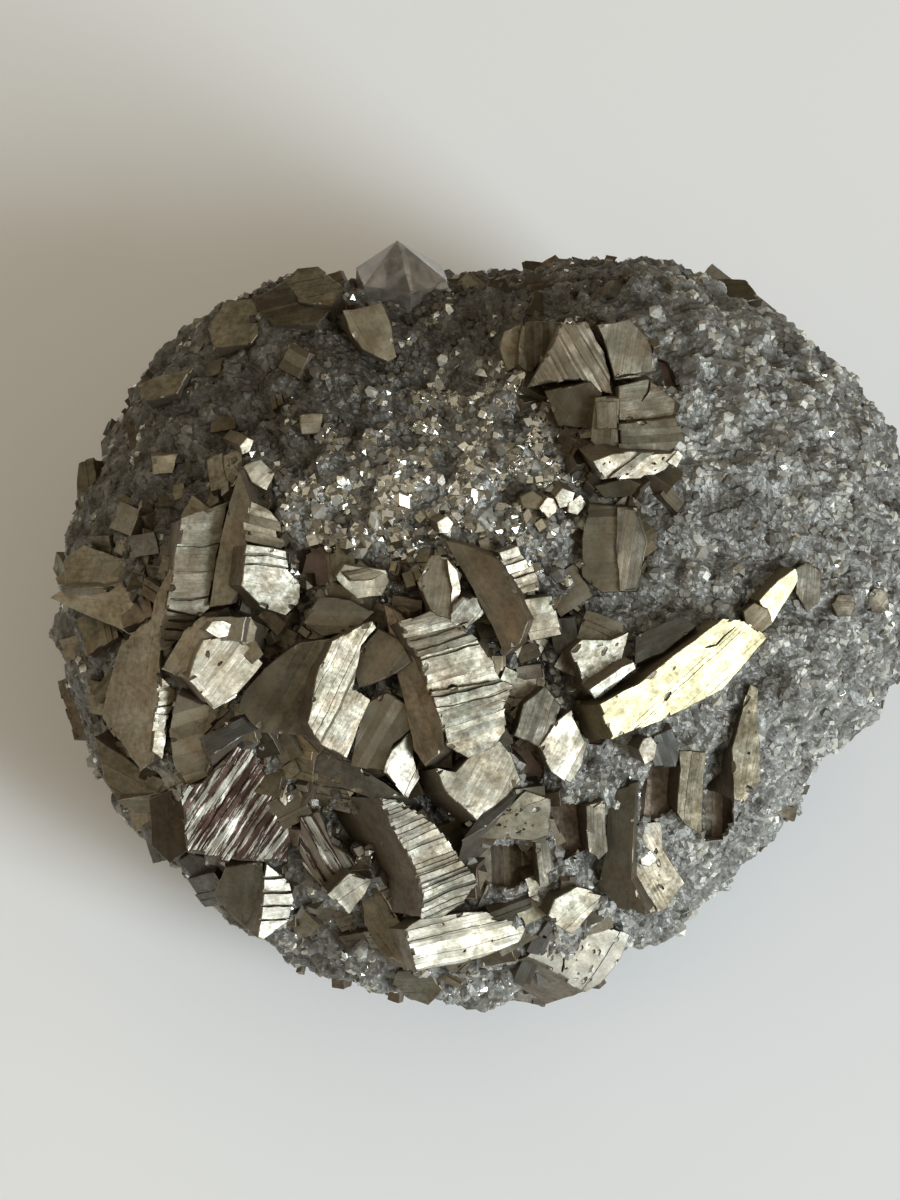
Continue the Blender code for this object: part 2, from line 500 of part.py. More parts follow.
def quartz_mesh(extra):
    """The quartz point, thicker at its sides and deeper at its foot by extra."""
    mesh = bmesh.new()
    place = quartz_matrix()
    middle = Matrix.Translation((0, 0, QUARTZ_PRISM / 2 - extra))
    radius = QUARTZ_RADIUS + extra
    bmesh.ops.create_cone(mesh, cap_ends=True, segments=QUARTZ_SIDES, radius1=radius, radius2=radius,
                          depth=QUARTZ_PRISM, matrix=place @ middle)
    axis = place.to_3x3() @ Vector((0, 0, 1))
    top = max(mesh.faces, key=lambda face: face.calc_center_median().dot(axis))
    tip = bmesh.ops.poke(mesh, faces=[top])["verts"][0]
    tip.co = place @ Vector((QUARTZ_TIP_SHIFT, 0, QUARTZ_PRISM + QUARTZ_TIP))
    return mesh


def apply_boolean(target, collection, operation):
    """Joins or cuts everything in a collection, and keeps the result as the target's own mesh.

    The solver is MANIFOLD, because EXACT leaves open edges where this many crystals cross.
    """
    modifier = target.modifiers.new(operation.lower(), "BOOLEAN")
    modifier.operand_type = "COLLECTION"
    modifier.collection = collection
    modifier.operation = operation
    modifier.solver = "MANIFOLD"
    bpy.context.view_layer.update()
    graph = bpy.context.evaluated_depsgraph_get()
    result = bpy.data.meshes.new_from_object(target.evaluated_get(graph))
    target.modifiers.clear()
    target.data = result


def fill_sealed_hollows(target):
    """Keeps only the outer skin, so that a pocket closed over by crystals becomes solid."""
    mesh = bmesh.new()
    mesh.from_mesh(target.data)
    unseen = set(mesh.faces)
    skins = []
    while unseen:
        front = [unseen.pop()]
        skin = []
        while front:
            face = front.pop()
            skin.append(face)
            beside = {f for edge in face.edges if edge.is_manifold for f in edge.link_faces} & unseen
            unseen -= beside
            front.extend(beside)
        skins.append(skin)
    skins.sort(key=len)
    for skin in skins[:-1]:
        bmesh.ops.delete(mesh, geom=skin, context="FACES")
    mesh.to_mesh(target.data)
    mesh.free()


def main():
    for old in list(bpy.data.objects):
        bpy.data.objects.remove(old)
    scene = bpy.context.scene.collection
    parts, pockets, crystals, late_cuts = (
        bpy.data.collections.new(name) for name in ("marcasite nodule", "pockets", "crystals", "late cuts")
    )
    for collection in (parts, pockets, crystals, late_cuts):
        scene.children.link(collection)

    nodule = make_body(parts)
    for name, outline, depth in POCKETS:
        mesh = bmesh.new()
        prism(mesh, *pocket_rings(outline, depth))
        helper("pocket_" + name, mesh, pockets)
    for crystal in CRYSTALS:
        mesh = bmesh.new()
        prism(mesh, *crystal_rings(crystal))
        helper("crystal_" + crystal.name, mesh, crystals)
    make_hidden_crystals(crystals)
    helper("quartz_socket", quartz_mesh(SOCKET_GAP), late_cuts)
    mesh = bmesh.new()
    bmesh.ops.create_cube(mesh, size=NODULE_WIDTH, matrix=Matrix.Translation((0, 0, -NODULE_WIDTH / 2)))
    helper("below_flat_spot", mesh, late_cuts)

    apply_boolean(nodule, pockets, "DIFFERENCE")
    apply_boolean(nodule, crystals, "UNION")
    apply_boolean(nodule, late_cuts, "DIFFERENCE")
    fill_sealed_hollows(nodule)
    nodule.data.materials.clear()
    nodule.data.materials.append(material("marcasite", *MARCASITE))

    quartz = new_object("quartz_point", quartz_mesh(0.0), parts)
    quartz.data.materials.append(material("quartz", *QUARTZ))


main()
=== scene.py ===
"""Marcasite nodule: its looks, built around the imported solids.

The nodule is one grown mass. Here its solid is replaced by the pieces that give it its surface: a rough
crust, the striated block crystals of the photographed side, those of the hidden sides, and a fine druse of
grains over the crust. The quartz point on the far rim is see-through.
Lengths are in metres. The crystals, pockets and swells have the same places and sizes as in the solids.
Outlines are in pixels of the photograph's frame, 900 across and 1200 down.
"""

import json
import math
import random
from functools import cache
from typing import NamedTuple

import bmesh
import bpy
import numpy as np
from mathutils import Matrix, Vector, noise
from mathutils.bvhtree import BVHTree

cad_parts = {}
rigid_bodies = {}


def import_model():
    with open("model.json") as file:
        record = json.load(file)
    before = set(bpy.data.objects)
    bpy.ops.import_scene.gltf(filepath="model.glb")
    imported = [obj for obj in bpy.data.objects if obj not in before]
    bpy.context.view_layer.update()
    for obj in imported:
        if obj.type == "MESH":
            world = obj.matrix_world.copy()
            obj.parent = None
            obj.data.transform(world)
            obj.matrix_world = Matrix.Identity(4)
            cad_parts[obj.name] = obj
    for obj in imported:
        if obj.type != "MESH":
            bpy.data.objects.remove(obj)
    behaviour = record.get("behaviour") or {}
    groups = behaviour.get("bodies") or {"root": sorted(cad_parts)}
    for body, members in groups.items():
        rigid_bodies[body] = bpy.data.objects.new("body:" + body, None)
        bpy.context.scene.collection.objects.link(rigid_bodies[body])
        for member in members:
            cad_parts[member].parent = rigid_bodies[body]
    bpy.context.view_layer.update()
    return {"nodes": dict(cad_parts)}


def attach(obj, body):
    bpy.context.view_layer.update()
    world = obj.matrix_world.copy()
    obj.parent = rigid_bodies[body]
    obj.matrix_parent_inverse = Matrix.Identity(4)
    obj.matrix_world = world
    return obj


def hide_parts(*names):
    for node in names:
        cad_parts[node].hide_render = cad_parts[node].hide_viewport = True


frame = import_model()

MM = 0.001
NOISE_SEED = 3  # without it the noise vectors differ from run to run
GOLDEN_ANGLE = math.pi * (3 - math.sqrt(5))  # spreads turns evenly
TINY = 1e-9  # keeps a division off zero

# The body, as in the solids
NODULE_WIDTH = 0.070
FRONT_DEPTH = 20.5 * MM  # from the body's centre towards the viewer
BACK_DEPTH = 24.0 * MM  # from the body's centre away from the viewer
BACK_SKEW = 0.16  # share that the far side of the back is deeper, and the near side shallower
CENTRE_HEIGHT = 23.1 * MM  # the body's centre above the flat spot
ROUNDNESS = 2.3  # 2 is an ellipsoid, and more is boxier
LUMP_HEIGHT = 1.3 * MM
LUMP_WIDTH = 9.0 * MM
GRAIN_HEIGHT = 1.1 * MM
GRAIN_WIDTH = 2.6 * MM
POCKET_FLOOR_SHARE = 0.85  # width of a pocket's floor, as a share of its mouth
POCKET_MOUTH_CLEAR = 6.0 * MM  # height of a pocket's cutter over the body
SOCKET_GAP = 0.3 * MM  # between the quartz point and its socket

# Walls of the pockets, and what keeps to the body
POCKET_SEED = 3
POCKET_ROWS = 12
POCKET_SEGMENT = 0.6 * MM  # longest stretch between points on a pocket's mouth
POCKET_WANDER = 1.5  # drift of a pocket's wall, as a share of an edge's
POCKET_ROUGH = 0.03  # millimetres
DEEP_POCKET = 2.2  # millimetres; the small blocks keep out of pockets deeper than this
ON_BODY = 0.2 * MM  # a point this near the body counts as on it

# The view that the outlines are laid out in
VIEW_ELEVATION = math.radians(68)
VIEW_DISTANCE = 0.30
WIDTH_IN_PIXELS = 855
FRAME_PIXELS = (900, 1200)
AIM_PIXEL = (450, 600)
CENTRE_PIXEL = (480, 635)
PIXEL = NODULE_WIDTH / WIDTH_IN_PIXELS
SENSOR_WIDTH = 36.0  # millimetres
CLIP_START = 0.01
SEARCH_NEAR = 45 * MM  # a ray looks for the body from this far before the centre
SEARCH_FAR = 20 * MM  # to this far behind it
SEARCH_STEP = 0.15 * MM

RIGHT = Vector((1, 0, 0))
UP = Vector((0, math.sin(VIEW_ELEVATION), math.cos(VIEW_ELEVATION)))
TOWARD = Vector((0, -math.cos(VIEW_ELEVATION), math.sin(VIEW_ELEVATION)))
CENTRE = Vector((0, 0, CENTRE_HEIGHT))
AIM = CENTRE + (RIGHT * (AIM_PIXEL[0] - CENTRE_PIXEL[0]) + UP * (CENTRE_PIXEL[1] - AIM_PIXEL[1])) * PIXEL
EYE = AIM + TOWARD * VIEW_DISTANCE

# Reach of the body from its centre in that view, in millimetres, at even steps anticlockwise from the right
REACH = (34.6, 36.2, 35.4, 34.4, 30.4, 29.6, 32.4, 34.2, 34.4,
         33.8, 32.6, 31.0, 30.2, 29.8, 29.6, 28.2, 28.4, 29.8)

# Broad swells and hollows of the body: middle in pixels, half-width in pixels, and height in millimetres
SWELLS = (
    ("centre_hollow", (425, 385), 75, -2.6),
    ("left_hollow", (245, 425), 60, -1.4),
    ("far_rim_left", (290, 320), 45, 1.2),
    ("glitter_bank", (400, 500), 60, 1.0),
    ("far_cluster", (600, 390), 60, 1.6),
    ("crystal_ridge", (360, 680), 110, 1.4),
    ("square_step", (215, 650), 55, 1.2),
    ("right_shoulder", (800, 430), 110, 0.8),
    ("gold_shoulder", (680, 640), 70, 0.8),
    ("slotted_slope", (690, 800), 75, -1.2),
    ("foot_hollow", (320, 840), 45, -0.8),
)

# Block crystals on the hidden sides, in pairs
HIDDEN_PAIRS = 46
HIDDEN_SEED = 7
HIDDEN_SIZES = (4.5 * MM, 8.5 * MM)
HIDDEN_SUNK = 0.27  # share of a hidden crystal's size that its middle lies below the body's surface
HIDDEN_TILTS = (0.5, 0.3)  # most turn about its two level axes, in radians
HIDDEN_WIDTHS = (0.6, 1.0)  # width as a share of length
HIDDEN_HEIGHTS = (0.8, 1.2)
BLOCK_CORNERS = 8  # the solid cuts one of them, and the scene only draws it
TWIN_SHARE = 0.68  # size of a pair's second block, as a share of the first
TWIN_BESIDE = 0.50  # how far it stands beside the first, as a share of the first's size
OUT_OF_VIEW = -0.14  # a hidden crystal's direction turns this far from the viewer, as a cosine
FLAT_SPOT_CLEAR = 0.66  # a hidden crystal keeps this far off straight down, as a cosine
QUARTZ_CLEAR = 0.95  # and this far off the quartz point

# Quartz point: a six-sided prism with a pyramid on it
QUARTZ_PIXEL = (402, 296)
QUARTZ_LEAN = (0.03, 0.86, 0.42)  # parts of its axis to the right, up the view and towards the viewer
QUARTZ_TURN = math.radians(12)
QUARTZ_SUNK = 3.2 * MM
QUARTZ_SIDES = 6
QUARTZ_RADIUS = 4.0 * MM
QUARTZ_PRISM = 5.0 * MM
QUARTZ_TIP = 3.0 * MM
QUARTZ_TIP_SHIFT = 0.5 * MM

# Crust: a finer body than the solid's, in Voronoi grains
CRUST_CUTS = 123  # grid lines across each side of the cube that the crust is rounded from
CELL_WIDTH = 0.75 * MM
CELL_RISE = 0.26 * MM
CELL_TILT = 0.55
SPECK_WIDTH = 0.33 * MM
SPECK_RISE = 0.08 * MM
CELL_SEED_SCALE, CELL_SEED_SHIFT = 3.7, Vector((11.3, 0.7, 5.1))  # places that a cell's draws are read at

# Block crystals
BLOCK_SEED = 2
SEGMENT = 0.45 * MM  # longest stretch between points on a crystal's edges
WANDERS = ((0.055 * MM, 0.7 * MM), (0.12 * MM, 2.6 * MM))  # sideways drift of the edges: amount, width
SWELL_OF_FACE = (0.13 * MM, 3.0 * MM)
WALL_ROWS = (0.5, 0.95, 1.5, 2.1, 2.8, 3.7, 5.0)  # millimetres under the face
WALL_STEP = 0.045 * MM
LEAST_STEP = 0.014 * MM  # two strips never meet at the same height
STEP_CHANGE = (0.75, 1.6 * MM)  # share that a step's height changes along it, and over what length
SHARP_ANGLE = math.radians(17)
FIRST_STRIP = (0.5, 1.2)  # width of a face's first strip, as a share of its pitch
STRIP_WIDTHS = (0.45, 1.6)  # and of the rest
LAST_STRIP = 0.35  # least width of the last strip
STRIP_LEAN = 0.4  # most that a strip leans by chance, as a share of its step
STRIP_TILTS = (0.5, 1.0)  # lean of the strips of a tilted face
LEVEL_KEPT = 0.6  # share of a strip's height that the next one keeps
CUT_NEAR = 1e-7  # points this near a cut count as on it
WALL_CLEAR = (0.15 * MM, 0.5 * MM)  # a wall's rows keep this far under the face, and over the buried end
WALL_DRIFT = 0.4  # how fast the drift changes down a wall, as a share of along an edge
FLAT_ON = 0.6  # cosine over which a facet counts as part of the face
STRAIGHT_DOWN = 0.999  # cosine over which walls count as square to the face
LINE_SEEDS = 50  # the growth lines of each block are read at a place of their own, within this length
WALL_SEED = 7  # and those of its walls this far from there
EDGE_SLOPE = 0.07 * MM  # width and height of the sloped edge round each face
# painted highlight: share of white in the tint of the sloped edge round each face
EDGE_HIGHLIGHT_SHARE = 0.12
BLOCK_SHADES = (0.86, 1.12)
STRIP_SHADES = (0.90, 1.08)
END_SHIFT = (0.03 * MM, 2.2, 0.30 * MM)  # a strip's ends reach out by chance: least, share of its step, most
DETAIL_SEED = 13
DETAIL_PITCH, DETAIL_STEP = 0.7, 0.02  # millimetres
DRAWN_TILTS = (0, 0, 1.0)  # of the faces that have no finish of their own
DRAWN_PITCHES = (0.5, 1.1)  # millimetres
DRAWN_STEPS = (0.03, 0.09)  # millimetres

# Chips broken from the crystals' edges, and pits in some faces
CHIP_SEED = 21
CHIP_SPACING = 8.0 * MM
CHIP_ODDS = (-0.3, 0.5)  # added to the number of chips on an edge before it is rounded
CHIP_SIZES = (0.12 * MM, 0.36 * MM)
CHIP_LENGTHS = (0.8, 2.2)  # as shares of the size
CHIP_HEIGHTS = (0.4, 0.9)
CHIP_TURNS = (0.5, 0.35)  # spread of its turns about the face's normal and its growth lines, in radians
CHIP_ROUGH = (0.35, 0.3 * MM)  # share of the size that its points move, and over what length
PLAIN_ANGLE = 35  # degrees; how the chips lie on a face without an angle of its own
PIT_SIZES = (0.10 * MM, 0.26 * MM)
PIT_REACH = 0.85  # how far from a face's middle its pits lie, as a share of the way to the edge
PITS = {"right_front_bright": 22, "pitted_wedge": 18, "front_bright": 3, "gold_blade": 3, "pale_shelf": 4,
        "cream_tooth": 5, "square_crystal": 3, "silver_front": 12, "slot_cheek_right": 3, "terrace_low": 3}

# Cutters of the thin gaps in the faces
GAP_HALF = 0.7  # half-width, as a share of the gap's width
GAP_CHANGE = (0.6, 0.8 * MM)  # share that the width changes along it, and over what length
GAP_DRIFT = (0.12, 1.1 * MM)  # sideways drift in millimetres, and over what length
GAP_END = 0.5  # share of the width left at its ends
GAP_ABOVE = 0.4  # millimetres over the face
GAP_SHARE = 0.7  # share of the depth that is cut
GAP_FOOT = 0.5  # share of the width left at its foot

# Low blocks that fill the ground between the large crystals
BED_SEED = 17
BED_SCATTER = 0.5  # as a share of the spacing
BED_LEAN = 1.6
BED_NOISE, BED_NOISE_SCALE = 0.25, 2000
BED_DEPTHS = (1.0, 1.4)  # as shares of the length
BED_WIDTHS = (0.5, 0.95)
BED_TURN = (0.6, 0.5)  # middle and spread, in radians
BED_LEANS = ((-0.35, 0.10), (-0.35, -0.15), (-0.15, -0.35), (0.05, 0.35), (0.30, -0.10), (0.10, 0.0))


class Bed(NamedTuple):
    """A stretch of ground, with the spacing of its blocks in pixels, and their sizes, rise and tints."""

    outline: tuple
    spacing: int
    sizes: tuple  # millimetres
    rise: tuple  # millimetres over the body
    tints: tuple


MIXED_TINTS = (("bronze",), ("olive",), ("pewter", "bronze"), ("tan", "bronze"), ("pewter",),
               ("olive", "bronze"), ("slate",), ("umber",), ("russet",))
HIDDEN_TINTS = (("bronze",), ("olive",), ("pewter", "bronze"), ("tan", "bronze"), ("cream", "tan"),
                ("pewter",), ("olive", "bronze"), ("slate",), ("moss",))
DARK_TINTS = (("umber",), ("moss",), ("umber", "moss"), ("moss", "olive"), ("umber",))
BEDS = (
    Bed(((58, 565), (150, 500), (180, 520), (240, 450), (290, 530), (330, 570), (440, 535), (500, 545),
        (560, 560), (600, 610), (640, 640), (610, 700), (585, 735), (550, 790), (545, 860), (600, 905),
        (620, 955), (560, 985), (440, 975), (380, 955), (250, 925), (180, 855), (110, 780), (70, 680)),
        23, (1.5, 3.4), (-0.7, 0.6), MIXED_TINTS),
    Bed(((500, 325), (640, 318), (680, 380), (685, 470), (650, 560), (590, 590), (560, 430), (510, 380)),
        23, (1.5, 3.4), (-0.7, 0.5), DARK_TINTS + (("olive",), ("bronze",))),
    Bed(((86, 540), (80, 470), (130, 385), (150, 350), (228, 302), (290, 272), (350, 290), (395, 330),
        (330, 360), (290, 430), (240, 470), (200, 500), (150, 520)), 34, (1.0, 2.6), (-1.0, 0.1),
        DARK_TINTS),
    Bed(((440, 284), (530, 272), (600, 266), (660, 262), (690, 276), (640, 315), (500, 322), (440, 302)),
        19, (1.4, 3.0), (-1.1, -0.1), DARK_TINTS),
)

# Small blocks between the large ones
CLUTTER_SEED = 5
CLUTTER_FRONT = 300
CLUTTER_HIDDEN = 260
CLUTTER_SIZES = (0.45 * MM, 1.5 * MM)
CLUTTER_SHARES = (0.6, 1.0)  # a second draw that makes the small ones more common
CLUTTER_WIDTHS = (0.5, 1.0)  # as shares of the length
CLUTTER_HEIGHTS = (0.9, 1.6)
CLUTTER_LEAN = 0.28
CLUTTER_SPREAD = 0.6
CLUTTER_FACING = 0.2  # cosines to the viewer: those in view are over this
CLUTTER_BEHIND = 0.1  # and the hidden ones are under this
CLUTTER_LOWEST = -0.75  # and point no nearer straight down
CLUTTER_MIDDLES = (((330, 720), 190), ((560, 750), 130), ((600, 400), 80), ((230, 560), 110))
CLUTTER_BEDS = 2  # how many of the beds the small blocks keep to
COARSE = 2  # the small blocks have points this much further apart

# Druse of grains, in clumps
DRUSE_SEED = 11
DRUSE_COUNTS = {"druse_left": 21000, "druse_right": 19000, "far_druse": 19000}
SUGARED = ("glitter_hole",)  # the pockets that grains grow in
DRUSE_MIDDLE = 4.0 * MM  # where the photographed side's druse is parted in two
DRUSE_FRONT = 0.05  # cosine to the viewer where the far druse begins
ZONES_END = -0.2  # and where the zones of the photographed side end
LEAST_AREA = 1e-18
WELL_INSIDE = 0.12 * MM  # grains this deep in a crystal are left out
GRAIN_SIZE = 0.42 * MM
GRAIN_MOST = 2.0  # largest draw of a grain's size, as a multiple of the mean
GRAIN_EVENNESS = 7.0
GRAIN_STRETCH = (0.7, 1.35)
GRAIN_KINDS = (0.25, 0.6)  # draws up to which a grain is a corner, and then an octahedron
BALL_FROM = 1.7  # size from which a grain is a ball
BALL_SHARE, CUBE_SHARE = 0.72, 0.62  # their reach along an axis
SUNK_MOST = 1.3
GRAIN_SUNK = 0.17 * MM  # depth of a grain of plain size in the crust
TONE_WIDTH = 0.75 * MM  # over which neighbouring grains share a tone
TONE_FINER = (3.1, 0.9)  # how much finer its second part is, and the share of that
TONE_CONTRAST = 1.2
TONE_PARTS = (0.14, 0.72, 0.30)  # of a grain's tone: the same for all, shared with neighbours, its own
BRIGHT_GRAINS = ((0.68, 0.68, 0.64), (0.62, 0.60, 0.52))
BRIGHT_BIAS = 1.5
PALE_GRAINS = ((0.38, 0.31, 0.225), (0.66, 0.655, 0.59))
PALE_GAIN = 1.4
DARK_GRAIN = (0.060, 0.048, 0.036)
CLUMP_WIDTH = 1.9 * MM
CLUMP_WAVES = ((1.0, 1.5), (2.3, 0.6))  # how much finer each is, and its height
CLUMP_RISE = 0.25 * MM
CLUMP_GAINS = (0.25, 2.2, 0.8)  # what gathering adds to the size, the shine and the tone
LEAST_SHINE = 0.05

# Openness: painted shade, darker where little light reaches
OPEN_REACH = 2.6 * MM
OPEN_RAYS = 9
OPEN_SEED = 9
OPEN_TURN = 0.3  # radians that the rays are turned by chance
OPEN_LOW = 0.96  # keeps the lowest rays a little off the surface
OPEN_START = 0.04  # millimetres over the surface
SHADE_PARTS = (0.52, 0.64)  # painted shade of the grains: brightness of a grain in a crack, and what openness adds

# Tints of the metal, partly its tarnish and partly painted light and shade: each crystal's tint follows how
# bright its face looks, so faces that catch the window have the pale tints and faces turned from it the dark
# ones
TINTS = {
    "silver": (0.68, 0.645, 0.54),
    "white": (0.485, 0.46, 0.39),
    "cream": (0.42, 0.395, 0.32),
    "gold": (0.62, 0.575, 0.36),
    "tan": (0.37, 0.33, 0.24),
    "pewter": (0.37, 0.35, 0.29),
    "bronze": (0.31, 0.285, 0.225),
    "olive": (0.28, 0.265, 0.21),
    "slate": (0.23, 0.235, 0.23),
    "maroon": (0.062, 0.038, 0.030),
    "russet": (0.29, 0.25, 0.19),
    "moss": (0.18, 0.165, 0.122),
    "umber": (0.14, 0.122, 0.095),
    "satin": (0.21, 0.20, 0.165),
    "cocoa": (0.29, 0.25, 0.21),
}
# painted highlight: pale slivers along the growth lines of the slivered faces stand for the lit edges of
# their steps
SLIVER_HIGHLIGHT_TINT = (0.43, 0.425, 0.365)
# painted shade: a darker brown for the crystals' walls and the low steps between their strips
WALL_SHADE_TINT = (0.24, 0.20, 0.155)
WALL_SHADE_SHARE = 0.7  # of the wall tint on a crystal's walls, as painted shade on its sides
STEP_SHADE_SHARE = 0.35  # of the wall tint on the low steps between strips, as painted shade in those creases
FACE, WALL, BRIGHT, SLIVERED = 1.0, 0.3, 1.4, 2.0  # what a tint's fourth value says of the surface; BRIGHT faces, those that catch the window, are mottled less, a painted highlight


class Finish(NamedTuple):
    """How a crystal's face looks: the tints of its strips, the way they run, their width and their steps."""

    tints: tuple = ("bronze",)
    angle: float = None  # degrees anticlockwise from the right, or along the longest edge if None
    pitch: float = 0.8  # millimetres
    step: float = 0.035  # millimetres
    tilt: float = 0.0  # share of the step that each strip leans across, all one way
    kind: float = FACE


FINISHES = {
    "left_block_top": Finish(("olive",), -4, 0.9, 0.04),
    "left_block_front": Finish(("white", "cream"), -6, 1.0, 0.04),
    "long_column_top": Finish(("pewter",), 3, 0.9, 0.05),
    "long_column_foot": Finish(("pewter",), -3, 0.42, 0.13),
    "long_column_side": Finish(("pewter",), 78, 0.8, 0.05),
    "column_edge": Finish(("cream",), 3, 0.5, 0.06),
    "square_crystal": Finish(("silver",), 50, 1.0, 0.04),
    "square_shoulder": Finish(("white",), 60, 0.9, 0.04),
    "bright_ledge": Finish(("pewter",), -12, 1.3, 0.03),
    "ledge_side": Finish(("bronze",), 78, 0.8, 0.03),
    "ledge_upper": Finish(("bronze",), -12, 0.5, 0.12),
    "pale_pentagon": Finish(("cream",), 45, 1.2, 0.02),
    "small_tile": Finish(("tan",)),
    "rim_plate": Finish(("moss",)),
    "bed_left": Finish(("silver", "white"), 20, 1.1, 0.05),
    "bed_middle": Finish(("satin", "olive"), 60, 1.0, 0.04),
    "grey_bar": Finish(("slate",), 25, 0.7, 0.05),
    "striped_crystal": Finish(("maroon",), 57, 0.36, 0.10, 0, SLIVERED),
    "heel_face": Finish(("olive",), -20, 1.0, 0.04),
    "heel_step": Finish(("pewter",), 5, 0.6, 0.05),
    "heel_knob": Finish(("slate",)),
    "toe_left": Finish(("slate",)),
    "toe_olive": Finish(("olive",), 80, 0.9, 0.04),
    "stair_crystal": Finish(("white",), 4, 1.2, 0.04, 0, BRIGHT),
    "red_striated": Finish(("maroon", "bronze"), -62, 0.4, 0.07, 0, SLIVERED),
    "grey_wedge": Finish(("pewter",), 30, 0.6, 0.06),
    "dark_band": Finish(("slate",), -25, 0.9, 0.04),
    "cream_blade": Finish(("pewter", "bronze"), 62, 0.38, 0.05),
    "brown_dome": Finish(("bronze",), 50, 1.2, 0.03),
    "brown_gable": Finish(("bronze", "pewter"), 60, 1.2, 0.03),
    "white_shard": Finish(("white",), 62, 0.8, 0.04),
    "brown_plank": Finish(("russet",), -64, 0.6, 0.05),
    "terrace_high": Finish(("pewter",), 14, 0.36, 0.06),
    "terrace_middle": Finish(("cream",), 14, 0.50, 0.05),
    "terrace_low": Finish(("satin", "bronze"), 15, 0.55, 0.06),
    "twin_left": Finish(("bronze",), 80, 0.7, 0.06),
    "twin_right": Finish(("satin",), 50, 0.6, 0.06),
    "pale_tablet": Finish(("cream",), 5, 1.2, 0.03),
    "saddle_brown": Finish(("olive", "bronze"), 0, 0.9, 0.06),
    "long_blade": Finish(("russet",), -56, 0.8, 0.04),
    "blade_steps": Finish(("bronze",), 22, 0.35, 0.08),
    "pale_saddle": Finish(("pewter",), 10, 0.8, 0.05),
    "pale_shelf": Finish(("pewter",), 30, 0.9, 0.05),
    "beige_block": Finish(("cream",), 60, 1.2, 0.02),
    "thin_ridge": Finish(("slate",), 45, 0.6, 0.04),
    "pitted_wedge": Finish(("olive",), 20, 0.6, 0.06),
    "green_grey": Finish(("satin",), 70, 0.8, 0.04),
    "pale_tongue": Finish(("pewter",), 60, 0.8, 0.04),
    "gold_blade": Finish(("gold",), 37, 0.45, 0.05, 0, BRIGHT),
    "gold_tip": Finish(("gold",), 40, 0.7, 0.03, 0, BRIGHT),
    "thin_ledge": Finish(("white",)),
    "grey_roof": Finish(("slate",), 25, 0.8, 0.05),
    "brown_cube": Finish(("tan",)),
    "olive_patch": Finish(("satin",)),
    "ring_near": Finish(("umber",)),
    "ring_far": Finish(("umber",)),
    "slot_cheek_right": Finish(("moss",), 80, 0.9, 0.03),
    "slot_cheek_middle": Finish(("moss",), 85, 0.9, 0.04),
    "slot_post": Finish(("satin",), 88, 0.8, 0.05),
    "cream_tooth": Finish(("bronze",), -60, 0.9, 0.05),
    "slot_rib": Finish(("satin",)),
    "wall_rib": Finish(("satin",)),
    "under_gold": Finish(("slate",)),
    "front_chip": Finish(("cream",), 40, 0.7, 0.05),
    "front_bright": Finish(("cream",), 5, 0.40, 0.07, 0, BRIGHT),
    "front_wall": Finish(("bronze",), -60, 0.9, 0.04),
    "striated_main": Finish(("pewter",), 17, 0.30, 0.06, 1.0),
    "right_front_bright": Finish(("white",), 62, 0.6, 0.08, 0, BRIGHT),
    "front_nub": Finish(("olive",)),
    "tan_strip": Finish(("tan",), 85, 1.4, 0.02),
    "brown_valley": Finish(("moss", "olive"), 88, 0.6, 0.06),
    "fan_crystal": Finish(("white", "cream", "pewter"), -59, 0.20, 0.05, 1.0),
    "tan_cube": Finish(("pewter",), 80, 1.0, 0.03),
    "brown_under_fan": Finish(("moss",), 60, 0.9, 0.04),
    "olive_step": Finish(("olive",), 85, 1.0, 0.05),
    "striated_step": Finish(("moss", "olive"), 2, 0.45, 0.05),
    "pink_step": Finish(("bronze",), 10, 0.8, 0.04),
    "silver_front": Finish(("white", "pewter", "cream"), 38, 0.45, 0.14),
    "brown_eave": Finish(("moss",)),
    "orange_slab": Finish(("olive",) * 7 + ("umber", "moss", "umber"), 2, 0.8, 0.03),
    "rim_slab": Finish(("moss",), 5, 1.0, 0.04),
    "tan_gem": Finish(("tan",), -60, 1.0, 0.05),
    "dark_hump": Finish(("moss",), 15, 0.5, 0.06),
    "olive_hump": Finish(("moss",), 70, 0.9, 0.05),
    "striped_shoulder": Finish(("moss", "umber"), 15, 0.45, 0.07),
    "bent_plate": Finish(("moss",), 15, 0.8, 0.04),
    "brown_plate": Finish(("bronze",)),
}


class Zone(NamedTuple):
    """A stretch of crust: its middle and half-width in pixels, and how its grains look there."""

    name: str
    middle: tuple
    half_width: float
    size: float  # of the grains, where 1 is GRAIN_SIZE
    shine: float  # share of the grains that are bright metal
    tone: float  # brightness of the rest


